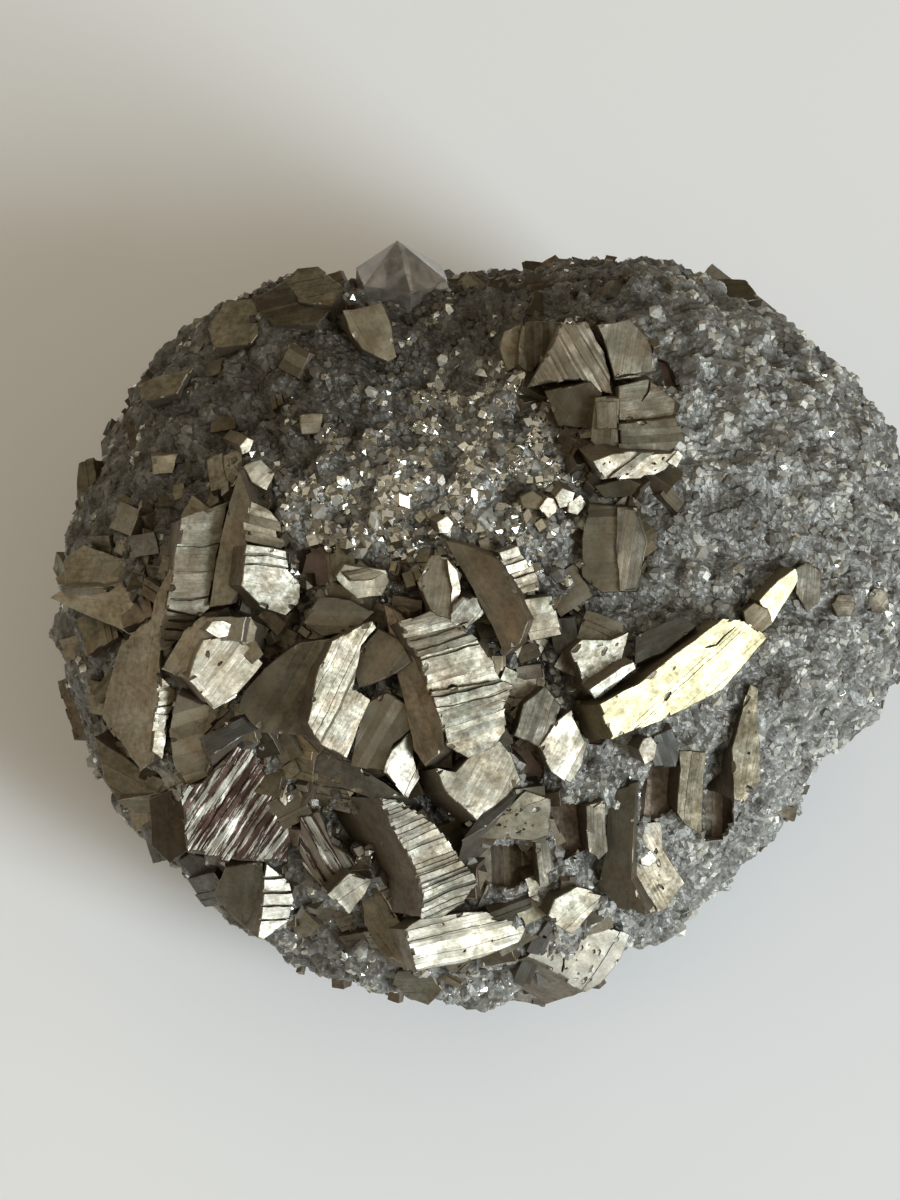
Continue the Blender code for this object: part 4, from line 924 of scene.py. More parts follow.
def crystal_rings(crystal):
    """The ring of a crystal's face, and the ring at the buried end of its walls."""
    normal = leaning(crystal.lean)
    anchor = surface_under(middle_of(crystal.outline)) + TOWARD * crystal.rise * MM
    face = [on_plane(pixel, anchor, normal) for pixel in crystal.outline]
    if crystal.run is None:
        down = -normal
    else:
        down = (-TOWARD + RIGHT * crystal.run[0] + UP * crystal.run[1]).normalized()
    return face, [p + down * crystal.depth * MM for p in face]


def pocket_rings(outline, depth):
    """The ring of a pocket's mouth, clear of the body, and the ring of its floor, a little narrower."""
    middle = surface_under(middle_of(outline))
    ring = [on_plane(pixel, middle, TOWARD) for pixel in outline]
    mouth = [point + TOWARD * POCKET_MOUTH_CLEAR for point in ring]
    floor = [middle.lerp(point, POCKET_FLOOR_SHARE) - TOWARD * depth * MM for point in ring]
    return mouth, floor


def add_object(name, data, collection=None):
    """An object of some data, in a collection or else in the scene's own."""
    made = bpy.data.objects.new(name, data)
    if collection is None:
        collection = bpy.context.scene.collection
    collection.objects.link(made)
    return made


def new_object(name, mesh, collection=None):
    """Turns a bmesh into an object of that name."""
    data = bpy.data.meshes.new(name)
    mesh.to_mesh(data)
    mesh.free()
    return add_object(name, data, collection)


def new_collection(name):
    """A collection for shapes that are only joined or cut."""
    made = bpy.data.collections.new(name)
    bpy.context.scene.collection.children.link(made)
    return made


def clear_collection(collection):
    """Removes the shapes of a collection, and the collection."""
    for made in list(collection.objects):
        data = made.data
        bpy.data.objects.remove(made)
        bpy.data.meshes.remove(data)
    bpy.data.collections.remove(collection)


def apply_boolean(target, collection, operation):
    """Joins or cuts everything in a collection, and keeps the result as the target's own mesh.

    The solver is MANIFOLD, because EXACT leaves open edges where this many crystals cross.
    """
    modifier = target.modifiers.new(operation.lower(), "BOOLEAN")
    modifier.operand_type = "COLLECTION"
    modifier.collection = collection
    modifier.operation = operation
    modifier.solver = "MANIFOLD"
    bpy.context.view_layer.update()
    graph = bpy.context.evaluated_depsgraph_get()
    result = bpy.data.meshes.new_from_object(target.evaluated_get(graph))
    target.modifiers.clear()
    target.data = result


def wander(point):
    """Small drift of a point of an edge, so that no edge is ruled straight."""
    drift = Vector()
    for amount, width in WANDERS:
        drift += noise.noise_vector(point / width) * amount
    return drift


def pixel_of(point):
    """Where a point shows in the view, in pixels."""
    out = point - EYE
    scale = -VIEW_DISTANCE / (out.dot(TOWARD) * PIXEL)
    return AIM_PIXEL[0] + out.dot(RIGHT) * scale, AIM_PIXEL[1] - out.dot(UP) * scale


# Block crystals
def with_layers(mesh):
    """Adds the layers that the metal reads: tint, and the place across and along the growth lines."""
    return mesh.faces.layers.float_color.new("tint"), mesh.loops.layers.float_vector.new("lines")


def tube(mesh, rings):
    """Closes a row of matching rings to a solid, facing out whichever way the rings turn."""
    mesh.faces.new(rings[0])
    mesh.faces.new(rings[-1][::-1])
    for upper, lower in zip(rings, rings[1:]):
        for (a, b), (c, d) in zip(sides_of(upper), sides_of(lower)):
            mesh.faces.new((a, c, d, b))
    bmesh.ops.recalc_face_normals(mesh, faces=mesh.faces)


def write_layer(mesh, name, values, kind="FLOAT", domain="POINT"):
    """Adds a layer with a value for each point or face of a mesh."""
    field = "color" if kind == "FLOAT_COLOR" else "value"
    mesh.attributes.new(name, kind, domain).data.foreach_set(field, values)


def paint(mesh, layers, tint, kind):
    """Gives every face of a cutter one tint, and each corner its place as its growth lines."""
    tint_layer, lines_layer = layers
    for face in mesh.faces:
        face[tint_layer] = (*tint, kind)
        for loop in face.loops:
            loop[lines_layer] = loop.vert.co / MM


def strip_levels(count, finish, chance):
    """Heights of each strip's two edges, as a walk that keeps near the face."""
    levels = []
    level = 0.0
    step = finish.step * MM
    for _ in range(count):
        level = LEVEL_KEPT * level + step * chance.uniform(-1, 1)
        lean = step * (chance.uniform(-STRIP_LEAN, STRIP_LEAN) + finish.tilt * chance.uniform(*STRIP_TILTS))
        low, high = level - lean, level + lean
        if levels and abs(low - levels[-1][1]) < LEAST_STEP:
            low = levels[-1][1] + LEAST_STEP
        levels.append((low, high))
    return levels


def mixed(first, second, share):
    """A colour between two others."""
    return tuple(a * (1 - share) + b * share for a, b in zip(first, second))


def strip_tints(finish, count, chance):
    """The tint of each strip, a little lighter or darker by chance."""
    lighter_by = chance.uniform(*BLOCK_SHADES)
    tints = []
    for strip in range(count):
        shade = lighter_by * chance.uniform(*STRIP_SHADES)
        tints.append(tuple(part * shade for part in TINTS[finish.tints[strip % len(finish.tints)]]))
    return tints


def face_ways(run, normal):
    """The way along a face that is nearest to a given one, and the way across it."""
    along = (run - normal * run.dot(normal)).normalized()
    return along, normal.cross(along)


def boundary_order(flat):
    """The points round the edge of a flat mesh, in order."""
    first = next(vert for vert in flat.verts if vert.is_boundary)
    order = [first]
    previous = None
    while True:
        step_on = [edge.other_vert(order[-1]) for edge in order[-1].link_edges if edge.is_boundary]
        following = step_on[0] if step_on[0] is not previous else step_on[1]
        previous = order[-1]
        if following is first:
            return order
        order.append(following)


class Block:
    """A block crystal in the making: a flat face that is cut in strips, and the closed mesh built on it."""

    def __init__(self, ring, down, finish, chance, coarse):
        self.down, self.finish, self.chance, self.coarse = down, finish, chance, coarse
        self.centre = mean(ring)
        self.flat = bmesh.new()
        face = self.flat.faces.new([self.flat.verts.new(p) for p in ring])
        self.flat.normal_update()
        self.normal = face.normal.copy()
        if self.normal.dot(down) > 0:
            self.normal.negate()
        if finish.angle is None:
            longest = max(face.edges, key=lambda edge: edge.calc_length())
            run = longest.verts[1].co - longest.verts[0].co
        else:
            run = in_view(math.radians(finish.angle))
        self.along, self.across = face_ways(run, self.normal)
        self.bounds = self.cut_strips([p.dot(self.across) for p in ring])
        self.levels = strip_levels(len(self.bounds) - 1, finish, chance)
        self.strips = {}
        for face in self.flat.faces:
            middle = face.calc_center_median().dot(self.across)
            self.strips[face] = sum(1 for cut in self.bounds[1:-1] if cut < middle)
        least, share_of_step, most = END_SHIFT
        reach = min(most, least + share_of_step * finish.step * MM)
        self.ends = [self.along * chance.uniform(-reach, reach) for _ in self.levels]
        self.mesh = bmesh.new()
        self.tint_layer, self.lines_layer = with_layers(self.mesh)
        self.heights, self.tops, self.brows, self.rims = {}, {}, {}, {}

    def cut_strips(self, places):
        """Cuts the face in strips, and its edges in short stretches; gives the strips' bounds."""
        flat, across, pitch = self.flat, self.across, self.finish.pitch * MM
        cuts = []
        at = min(places) + pitch * self.chance.uniform(*FIRST_STRIP)
        while at < max(places) - pitch * LAST_STRIP:
            cuts.append(at)
            geometry = flat.verts[:] + flat.edges[:] + flat.faces[:]
            bmesh.ops.bisect_plane(flat, geom=geometry, dist=CUT_NEAR, plane_co=across * at, plane_no=across)
            at += pitch * self.chance.uniform(*STRIP_WIDTHS)
        for edge in flat.edges[:]:
            pieces = math.ceil(edge.calc_length() / SEGMENT / self.coarse)
            if pieces > 1:
                bmesh.ops.bisect_edges(flat, edges=[edge], cuts=pieces - 1)
        return [min(places), *cuts, max(places)]

    def outward(self, vert):
        """The way from the face's middle to one of its points."""
        return (vert.co - self.centre).normalized()

    def raise_strips(self):
        """Stands each strip at its height, with a sloped brow round the face."""
        swell, swell_width = SWELL_OF_FACE
        change, change_width = STEP_CHANGE
        for vert in self.flat.verts:
            for strip in {self.strips[face] for face in vert.link_faces}:
                low, high = self.levels[strip]
                first, last = self.bounds[strip], self.bounds[strip + 1]
                share = (vert.co.dot(self.across) - first) / max(last - first, TINY)
                spot = self.along * (vert.co.dot(self.along) / change_width)
                height = (low + (high - low) * share) * (1 + change * noise.noise(spot))
                height += swell * noise.noise(vert.co / swell_width)
                self.heights[vert, strip] = height
                top = vert.co + wander(vert.co) + self.ends[strip] - self.down * height
                self.tops[vert, strip] = self.mesh.verts.new(top)
                if vert.is_boundary:
                    brow = top + (self.down + self.outward(vert)) * EDGE_SLOPE / self.coarse ** 2
                    self.brows[vert, strip] = self.mesh.verts.new(brow)

    def add_rims(self, depth):
        """Sets the rows of points on the walls, down to their buried end."""
        head, foot = WALL_CLEAR
        dips = min(self.heights.values())
        rows = [row * MM for row in WALL_ROWS[::self.coarse] if head - dips < row * MM < depth - foot]
        rows.append(depth)
        shifts = [self.chance.uniform(-WALL_STEP, WALL_STEP) for _ in rows]
        for vert in self.flat.verts:
            if vert.is_boundary:
                self.rims[vert] = []
                for row, shift in zip(rows, shifts):
                    drift = wander(vert.co + self.down * row * WALL_DRIFT)
                    spot = vert.co + drift + self.down * row + self.outward(vert) * shift
                    self.rims[vert].append(self.mesh.verts.new(spot))

    def build(self, verts, tint, kind):
        """Adds a face with its tint."""
        self.mesh.faces.new(verts)[self.tint_layer] = (*tint, kind)

    def strips_at(self, vert):
        """The strips that meet at a point, the highest first."""
        found = {self.strips[face] for face in vert.link_faces}
        return sorted(found, key=lambda strip: -self.heights[vert, strip])

    def brows_below(self, vert, strip):
        """The brows of lower strips that a wall passes under a point, the highest first."""
        own = self.heights[vert, strip]
        return [self.brows[vert, s] for s in self.strips_at(vert) if self.heights[vert, s] < own]

    def add_wall(self, a, b, strip, tint):
        """The wall under the edge between two points, down to its buried end."""
        brows, rims = self.brows, self.rims
        near, far = self.brows_below(a, strip), self.brows_below(b, strip)
        self.build([brows[a, strip], brows[b, strip], *far, rims[b][0], rims[a][0], *near[::-1]], tint, WALL)
        for row in range(len(rims[a]) - 1):
            self.build([rims[a][row], rims[b][row], rims[b][row + 1], rims[a][row + 1]], tint, WALL)

    def cover(self, tints):
        """Adds the faces: the strips, the low steps between them, the sloped edges, the walls and the end."""
        tops, brows = self.tops, self.brows
        # painted shade: the low steps between strips and the walls are darkened towards the wall tint
        stepped = [mixed(tint, WALL_SHADE_TINT, STEP_SHADE_SHARE) for tint in tints]
        for face in self.flat.faces:
            strip = self.strips[face]
            self.build([tops[vert, strip] for vert in face.verts], tints[strip], self.finish.kind)
        for vert in self.flat.verts:
            if vert.is_boundary:
                found = self.strips_at(vert)
                for one, two in zip(found, found[1:]):
                    corners = [tops[vert, one], brows[vert, one], brows[vert, two], tops[vert, two]]
                    self.build(corners, stepped[one], WALL)
        for edge in self.flat.edges:
            a, b = edge.verts
            one, *others = (self.strips[face] for face in edge.link_faces)
            if not others:
                # painted highlight: the sloped edge round the face is tinted lighter
                lighter = mixed(tints[one], TINTS["white"], EDGE_HIGHLIGHT_SHARE)
                self.build([tops[a, one], tops[b, one], brows[b, one], brows[a, one]], lighter, FACE)
                self.add_wall(a, b, one, mixed(tints[one], WALL_SHADE_TINT, WALL_SHADE_SHARE))
            elif one != others[0]:
                two = others[0]
                self.build([tops[a, one], tops[b, one], tops[b, two], tops[a, two]], stepped[one], WALL)
        self.build([self.rims[vert][-1] for vert in boundary_order(self.flat)], WALL_SHADE_TINT, WALL)

    def finished(self):
        """The closed mesh, where each corner has its place across and along the growth lines."""
        normal, down, along, across = self.normal, self.down, self.along, self.across
        bmesh.ops.recalc_face_normals(self.mesh, faces=self.mesh.faces)
        bmesh.ops.triangulate(self.mesh, faces=self.mesh.faces)
        seed = self.chance.uniform(0, LINE_SEEDS)
        side = normal.cross(down).normalized() if abs(normal.dot(down)) < STRAIGHT_DOWN else along
        for face in self.mesh.faces:
            flat_on = abs(face.normal.dot(normal)) > FLAT_ON
            for loop in face.loops:
                point = loop.vert.co
                if flat_on:
                    place = (point.dot(across) / MM, point.dot(along) / MM, seed)
                else:
                    place = (point.dot(down) / MM, point.dot(along + across + side) / MM, seed + WALL_SEED)
                loop[self.lines_layer] = place
        self.flat.free()
        return self.mesh


def grown_block(ring, down, depth, finish, chance, coarse=1):
    """A closed block under a ring of points: its face is cut into strips that stand at unlike heights."""
    block = Block(ring, down, finish, chance, coarse)
    block.raise_strips()
    block.add_rims(depth)
    block.cover(strip_tints(finish, len(block.levels), chance))
    return block.finished()


def add_table_crystals(collection, chance):
    """The crystals of the photographed side."""
    for crystal in CRYSTALS:
        ring, low = crystal_rings(crystal)
        down = (low[0] - ring[0]).normalized()
        block = grown_block(ring, down, crystal.depth * MM, FINISHES[crystal.name], chance)
        new_object("crystal_" + crystal.name, block, collection)


def face_plane(host):
    """A point and the normal of a crystal's face."""
    crystal = next(c for c in CRYSTALS if c.name == host)
    return crystal_rings(crystal)[0][0], leaning(crystal.lean)


def add_details(collection, chance):
    """The small crystals of DETAILS."""
    for detail in DETAILS:
        middle = middle_of(detail.outline)
        point = on_plane(middle, *face_plane(detail.host)) if detail.host else surface_under(middle)
        point = point + TOWARD * detail.above * MM
        normal = leaning(detail.lean)
        ring = [on_plane(pixel, point, normal) for pixel in detail.outline]
        finish = Finish(detail.tints, None, DETAIL_PITCH, DETAIL_STEP)
        block = grown_block(ring, -normal, detail.depth * MM, finish, chance)
        new_object("detail_" + detail.name, block, collection)


def path_through(spots):
    """Points along a line through some spots, a short stretch apart."""
    path = []
    for start, stop in zip(spots, spots[1:]):
        pieces = math.ceil((stop - start).length / SEGMENT)
        path += [start.lerp(stop, piece / pieces) for piece in range(pieces)]
    return path + [spots[-1]]


def gap_mesh(path, normal, width, depth):
    """A cutter along a path: a thin wedge that wanders, narrower at its ends."""
    mesh = bmesh.new()
    layers = with_layers(mesh)
    change, change_width = GAP_CHANGE
    drift, drift_width = GAP_DRIFT
    rings = []
    for k, spot in enumerate(path):
        run = path[min(k + 1, len(path) - 1)] - path[max(k - 1, 0)]
        across = normal.cross(run).normalized()
        half = width * PIXEL * GAP_HALF * (1 + change * noise.noise(spot / change_width))
        if k in (0, len(path) - 1):
            half *= GAP_END
        spot = spot + across * noise.noise(spot / drift_width) * drift * MM
        high, low = normal * GAP_ABOVE * MM, normal * depth * GAP_SHARE * MM
        corners = (spot + high + across * half, spot + high - across * half,
                   spot - low - across * half * GAP_FOOT, spot - low + across * half * GAP_FOOT)
        rings.append([mesh.verts.new(corner) for corner in corners])
    tube(mesh, rings)
    paint(mesh, layers, TINTS["olive"], WALL)
    return mesh


def add_gaps(collection):
    """Cutters for the thin dark gaps."""
    for number, (host, line, width, depth) in enumerate(GAPS):
        point, normal = face_plane(host)
        path = path_through([on_plane(pixel, point, normal) for pixel in line])
        new_object(f"gap_{number}", gap_mesh(path, normal, width, depth), collection)


def face_frame(crystal):
    """The ring of a crystal's face, and a turn to its growth lines' way, the way across them, and out."""
    normal = leaning(crystal.lean)
    angle = FINISHES[crystal.name].angle
    run = in_view(math.radians(PLAIN_ANGLE if angle is None else angle))
    return crystal_rings(crystal)[0], axes(*face_ways(run, normal), normal)


def spot_on(ring, chance):
    """A spot inside a face, drawn by chance."""
    k = chance.randrange(len(ring))
    edge = ring[k].lerp(ring[(k + 1) % len(ring)], chance.random())
    return mean(ring).lerp(edge, math.sqrt(chance.random()) * PIT_REACH)


def within(pixel, outline):
    """Whether a pixel lies inside an outline."""
    x, y = pixel
    found = False
    for (x1, y1), (x2, y2) in sides_of(outline):
        if (y1 > y) != (y2 > y) and x < (x2 - x1) * (y - y1) / (y2 - y1) + x1:
            found = not found
    return found


def on_body(point):
    """Whether a found point really lies on the body."""
    out = point - CENTRE
    return out.length - body_radius(out.normalized()) < ON_BODY


def add_bed(collection, chance):
    """Low blocks that fill the ground between the large crystals."""
    count = 0
    for bed in BEDS:
        columns, rows = ([p[k] for p in bed.outline] for k in (0, 1))
        for x in range(min(columns), max(columns), bed.spacing):
            for y in range(min(rows), max(rows), bed.spacing):
                pixel = [at + chance.uniform(-BED_SCATTER, BED_SCATTER) * bed.spacing for at in (x, y)]
                lean = chance.choice(BED_LEANS)
                length = chance.uniform(*bed.sizes) * MM
                if not within(pixel, bed.outline) or in_pocket(pixel):
                    continue
                point = surface_under(pixel)
                if on_body(point):
                    new_object(f"bed_{count}", bed_block(bed, point, lean, length, chance), collection)
                    count += 1


def bed_block(bed, point, lean, length, chance):
    """One low block of a stretch of ground."""
    axis = (point - CENTRE).normalized() + TOWARD + RIGHT * lean[0] * BED_LEAN + UP * lean[1] * BED_LEAN
    axis = (axis + noise.noise_vector(point * BED_NOISE_SCALE) * BED_NOISE).normalized()
    depth = length * chance.uniform(*BED_DEPTHS)
    middle = point + axis * (chance.uniform(*bed.rise) * MM - depth / 2)
    place = standing(middle, axis, chance.gauss(*BED_TURN))
    sides = (length, length * chance.uniform(*BED_WIDTHS), depth)
    return block_at(place, sides, drawn_finish(bed.tints, chance), chance, COARSE)


def block_at(place, sides, finish, chance, coarse=1):
    """A block of unlike sides standing in a frame, for the small and the hidden crystals."""
    length, width, height = sides
    corners = [(-1, -1), (1, -1), (1, 1), (-1, 1)]
    ring = [place @ Vector((x * length / 2, y * width / 2, height / 2)) for x, y in corners]
    down = -(place.to_3x3() @ Vector((0, 0, 1))).normalized()
    return grown_block(ring, down, height, finish, chance, coarse)


def drawn_finish(tints, chance):
    """A finish drawn by chance, for a crystal without one of its own."""
    tilt, drawn = chance.choice(DRAWN_TILTS), chance.choice(tints)
    return Finish(drawn, None, chance.uniform(*DRAWN_PITCHES), chance.uniform(*DRAWN_STEPS), tilt)


def add_hidden_crystals(collection, looks_chance):
    """Pairs of blocks sunk into the far side and the underside, with the same draws as in the solid."""
    chance = random.Random(HIDDEN_SEED)
    towards_quartz = (surface_under(QUARTZ_PIXEL) - CENTRE).normalized()
    for k in range(HIDDEN_PAIRS):
        toward = OUT_OF_VIEW - (1 + OUT_OF_VIEW) * k / HIDDEN_PAIRS
        level = math.sqrt(1 - toward * toward)
        direction = in_view(GOLDEN_ANGLE * k) * level + TOWARD * toward
        size = chance.uniform(*HIDDEN_SIZES)
        if -direction.z > FLAT_SPOT_CLEAR or direction.dot(towards_quartz) > QUARTZ_CLEAR:
            continue
        middle = CENTRE + direction * (body_radius(direction) - size * HIDDEN_SUNK)
        place = standing(middle, direction, chance.uniform(0, math.tau))
        beside = Matrix.Translation((size * TWIN_BESIDE, 0, -size * (1 - TWIN_SHARE) / 4))
        for letter, where, side in (("a", place, size), ("b", place @ beside, size * TWIN_SHARE)):
            tilt_x, tilt_y = (chance.uniform(-most, most) for most in HIDDEN_TILTS)
            tilt = Matrix.Rotation(tilt_x, 4, "X") @ Matrix.Rotation(tilt_y, 4, "Y")
            sides = (side, side * chance.uniform(*HIDDEN_WIDTHS), side * chance.uniform(*HIDDEN_HEIGHTS))
            chance.randrange(BLOCK_CORNERS)  # the solid draws the corner that it cuts
            block = block_at(where @ tilt, sides, drawn_finish(HIDDEN_TINTS, looks_chance), looks_chance)
            new_object(f"hidden_crystal_{k:02d}{letter}", block, collection)


def in_pocket(pixel):
    """Whether a pixel lies in one of the deeper pockets."""
    return any(depth > DEEP_POCKET and within(pixel, outline) for _, outline, depth in POCKETS)


def in_beds(pixel):
    """Whether a pixel lies where small blocks grow."""
    return any(within(pixel, bed.outline) for bed in BEDS[:CLUTTER_BEDS]) and not in_pocket(pixel)


def any_way(chance):
    """A vector that points any way."""
    return Vector([chance.gauss(0, 1) for _ in range(3)])


def add_clutter(front, hidden, chance):
    """Small blocks that fill the gaps between the large ones."""
    made = 0
    while made < CLUTTER_FRONT:
        middle, spread = chance.choice(CLUTTER_MIDDLES)
        pixel = [chance.gauss(at, spread * CLUTTER_SPREAD) for at in middle]
        point = surface_under(pixel)
        out = (point - CENTRE).normalized()
        if out.dot(TOWARD) < CLUTTER_FACING or not on_body(point) or not in_beds(pixel):
            continue
        add_small_block(front, f"small_{made}", point, out, chance)
        made += 1
    for number in range(CLUTTER_HIDDEN):
        out = any_way(chance).normalized()
        if out.dot(TOWARD) > CLUTTER_BEHIND or out.z < CLUTTER_LOWEST:
            continue
        point = CENTRE + out * body_radius(out)
        add_small_block(hidden, f"small_hidden_{number}", point, out, chance)


def add_small_block(collection, name, point, out, chance):
    """One small block, leaning and turned by chance."""
    length = chance.uniform(*CLUTTER_SIZES) * chance.uniform(*CLUTTER_SHARES)
    sides = (length, length * chance.uniform(*CLUTTER_WIDTHS), length * chance.uniform(*CLUTTER_HEIGHTS))
    axis = (out + any_way(chance) * CLUTTER_LEAN).normalized()
    place = standing(point, axis, chance.uniform(0, math.tau))
    new_object(name, block_at(place, sides, drawn_finish(MIXED_TINTS, chance), chance, COARSE), collection)


def chip(middle, turn, size, chance):
    """A small cutter, a low rough ball set to the face's frame."""
    mesh = bmesh.new()
    layers = with_layers(mesh)
    most_spin, most_roll = CHIP_TURNS
    spin = Matrix.Rotation(chance.gauss(0, most_spin), 4, "Z")
    spin = spin @ Matrix.Rotation(chance.gauss(0, most_roll), 4, "X")
    longer, lower = chance.uniform(*CHIP_LENGTHS), chance.uniform(*CHIP_HEIGHTS)
    stretch = Matrix.Diagonal((size * longer, size, size * lower, 1.0))
    place = Matrix.Translation(middle) @ turn @ spin @ stretch
    bmesh.ops.create_icosphere(mesh, subdivisions=1, radius=1.0, matrix=place)
    rough, rough_width = CHIP_ROUGH
    for vert in mesh.verts:
        vert.co += noise.noise_vector(vert.co / rough_width) * size * rough
    paint(mesh, layers, TINTS["pewter"], FACE)
    return mesh


def add_chips(collection, chance):
    """Chips along the edges of the photographed crystals' faces, and pits in some faces."""
    count = 0
    for crystal in CRYSTALS:
        ring, turn = face_frame(crystal)
        spots = []
        for point, after in sides_of(ring):
            for _ in range(round((after - point).length / CHIP_SPACING + chance.uniform(*CHIP_ODDS))):
                spots.append((point.lerp(after, chance.random()), chance.uniform(*CHIP_SIZES)))
        for _ in range(PITS.get(crystal.name, 0)):
            spots.append((spot_on(ring, chance), chance.uniform(*PIT_SIZES)))
        for spot, size in spots:
            new_object(f"chip_{count}", chip(spot, turn, size, chance), collection)
            count += 1


def below_flat_spot(collection):
    """A block under the level of the flat spot."""
    mesh = bmesh.new()
    tint_layer, _ = with_layers(mesh)
    bmesh.ops.create_cube(mesh, size=NODULE_WIDTH, matrix=Matrix.Translation((0, 0, -NODULE_WIDTH / 2)))
    for face in mesh.faces:
        face[tint_layer] = (*WALL_SHADE_TINT, WALL)
    new_object("below_flat_spot", mesh, collection)


def joined(name, collection, cutters):
    """Joins all the shapes of a collection in one object, and cuts it."""
    shapes = list(collection.objects)
    target = shapes[0]
    collection.objects.unlink(target)
    bpy.context.scene.collection.objects.link(target)
    apply_boolean(target, collection, "UNION")
    for cutter in cutters:
        apply_boolean(target, cutter, "DIFFERENCE")
    target.name = name
    target.data.name = name
    clear_collection(collection)
    target.data.shade_smooth()
    target.data.set_sharp_from_angle(angle=SHARP_ANGLE)
    return target


# Crust and druse
def zone_at(point, normal):
    """Size, shine and tone of the grains at a point of the crust."""
    total = np.array((PLAIN_ZONE.size, PLAIN_ZONE.shine, PLAIN_ZONE.tone)) * PLAIN_SHARE
    weight = PLAIN_SHARE
    if normal.dot(TOWARD) > ZONES_END:
        x, y = pixel_of(point)
        for zone in ZONES:
            apart = math.hypot(x - zone.middle[0], y - zone.middle[1]) / zone.half_width
            share = math.exp(-apart * apart)
            total += np.array((zone.size, zone.shine, zone.tone)) * share
            weight += share
    clump = clump_at(point)
    by_size, by_shine, by_tone = (1 + gain * clump for gain in CLUMP_GAINS)
    return total / weight * (by_size, max(LEAST_SHINE, by_shine), by_tone)


def clump_at(point):
    """How much the grains gather at a point, from -1 to 1."""
    found = sum(noise.noise(point / CLUMP_WIDTH * finer) * height for finer, height in CLUMP_WAVES)
    return max(-1.0, min(1.0, found))


def grain_lift(point):
    """How far a point of the crust is lifted by the grain it lies in."""
    _, cells = noise.voronoi(point / CELL_WIDTH)
    seed = Vector(cells[0]) * CELL_SEED_SCALE
    lean = noise.noise_vector(seed + CELL_SEED_SHIFT)
    lift = noise.cell(seed) * 2 - 1
    away = point - Vector(cells[0]) * CELL_WIDTH
    speck = noise.noise(point / SPECK_WIDTH) * SPECK_RISE
    return CELL_RISE * 0.5 * lift + CELL_TILT * away.dot(lean) + speck + CLUMP_RISE * clump_at(point)


def coat(made):
    """Gives an object the crust's two materials, grains first and then bare walls."""
    made.data.materials.append(crust_material())
    made.data.materials.append(wall_material())


def make_crust(cutters):
    """The rough mass that everything grows from, with its pockets cut."""
    mesh = bmesh.new()
    bmesh.ops.create_cube(mesh, size=2.0)
    bmesh.ops.subdivide_edges(mesh, edges=mesh.edges[:], cuts=CRUST_CUTS, use_grid_fill=True)
    for vert in mesh.verts:
        spread = Vector(math.tan(c * math.pi / 4) for c in vert.co)
        direction = spread.normalized()
        point = CENTRE + direction * body_radius(direction)
        vert.co = point + direction * grain_lift(point)
    bmesh.ops.triangulate(mesh, faces=mesh.faces)
    with_layers(mesh)
    crust = new_object("crust", mesh)
    coat(crust)
    for cutter in cutters:
        apply_boolean(crust, cutter, "DIFFERENCE")
    return crust


def pocket_row(mouth, points, middle, chance):
    """One row of points round a pocket's wall, as many on each side as its mouth's length asks for."""
    row = []
    for (start, stop), (point, after) in zip(sides_of(mouth), sides_of(points)):
        pieces = max(1, math.ceil((stop - start).length / POCKET_SEGMENT))
        for piece in range(pieces):
            spot = point.lerp(after, piece / pieces)
            out = (spot - middle).normalized()
            row.append(spot + wander(spot) * POCKET_WANDER + out * chance.uniform(-1, 1) * POCKET_ROUGH * MM)
    return row


def add_pockets(collection, chance):
    """Cutters for the dark pockets, with wandering rows on their walls."""
    for name, outline, depth in POCKETS:
        mouth, floor = pocket_rings(outline, depth)
        mesh = bmesh.new()
        with_layers(mesh)
        rings = []
        for row in range(POCKET_ROWS + 1):
            share = row / POCKET_ROWS
            points = [m.lerp(f, share) for m, f in zip(mouth, floor)]
            spots = pocket_row(mouth, points, mean(mouth).lerp(mean(floor), share), chance)
            rings.append([mesh.verts.new(p) for p in spots])
        tube(mesh, rings)
        bmesh.ops.triangulate(mesh, faces=mesh.faces)
        for face in mesh.faces:
            face.material_index = 0 if name in SUGARED else 1
        coat(new_object("pocket_" + name, mesh, collection))


def finish_crust(crust):
    """Writes each point's tone to the crust, and shades its grains flat."""
    mesh = crust.data
    write_layer(mesh, "tone", [zone_at(vert.co, vert.normal)[2] for vert in mesh.vertices])
    mesh.shade_flat()


def open_ways(chance):
    """Ways that a point is looked from, all within half a turn of straight out."""
    ways = []
    for k in range(OPEN_RAYS):
        out = math.sqrt((k + 0.5) / OPEN_RAYS)
        turn = GOLDEN_ANGLE * k + chance.uniform(-OPEN_TURN, OPEN_TURN)
        ways.append(Vector((out * math.cos(turn), out * math.sin(turn), math.sqrt(1 - out * out * OPEN_LOW))))
    return ways


def openness(spot, normal, ways, tree):
    """How open a spot is, from 0 in a crack to 1."""
    turn = normal.to_track_quat("Z", "Y")
    start = spot + normal * OPEN_START * MM
    total = 0.0
    for way in ways:
        apart = tree.ray_cast(start, turn @ way, OPEN_REACH)[3]
        total += 1.0 if apart is None else apart / OPEN_REACH
    return total / OPEN_RAYS


def add_openness(piece, ways, tree):
    """Writes each point's openness to a piece."""
    mesh = piece.data
    write_layer(mesh, "open", [openness(vert.co, vert.normal, ways, tree) for vert in mesh.vertices])


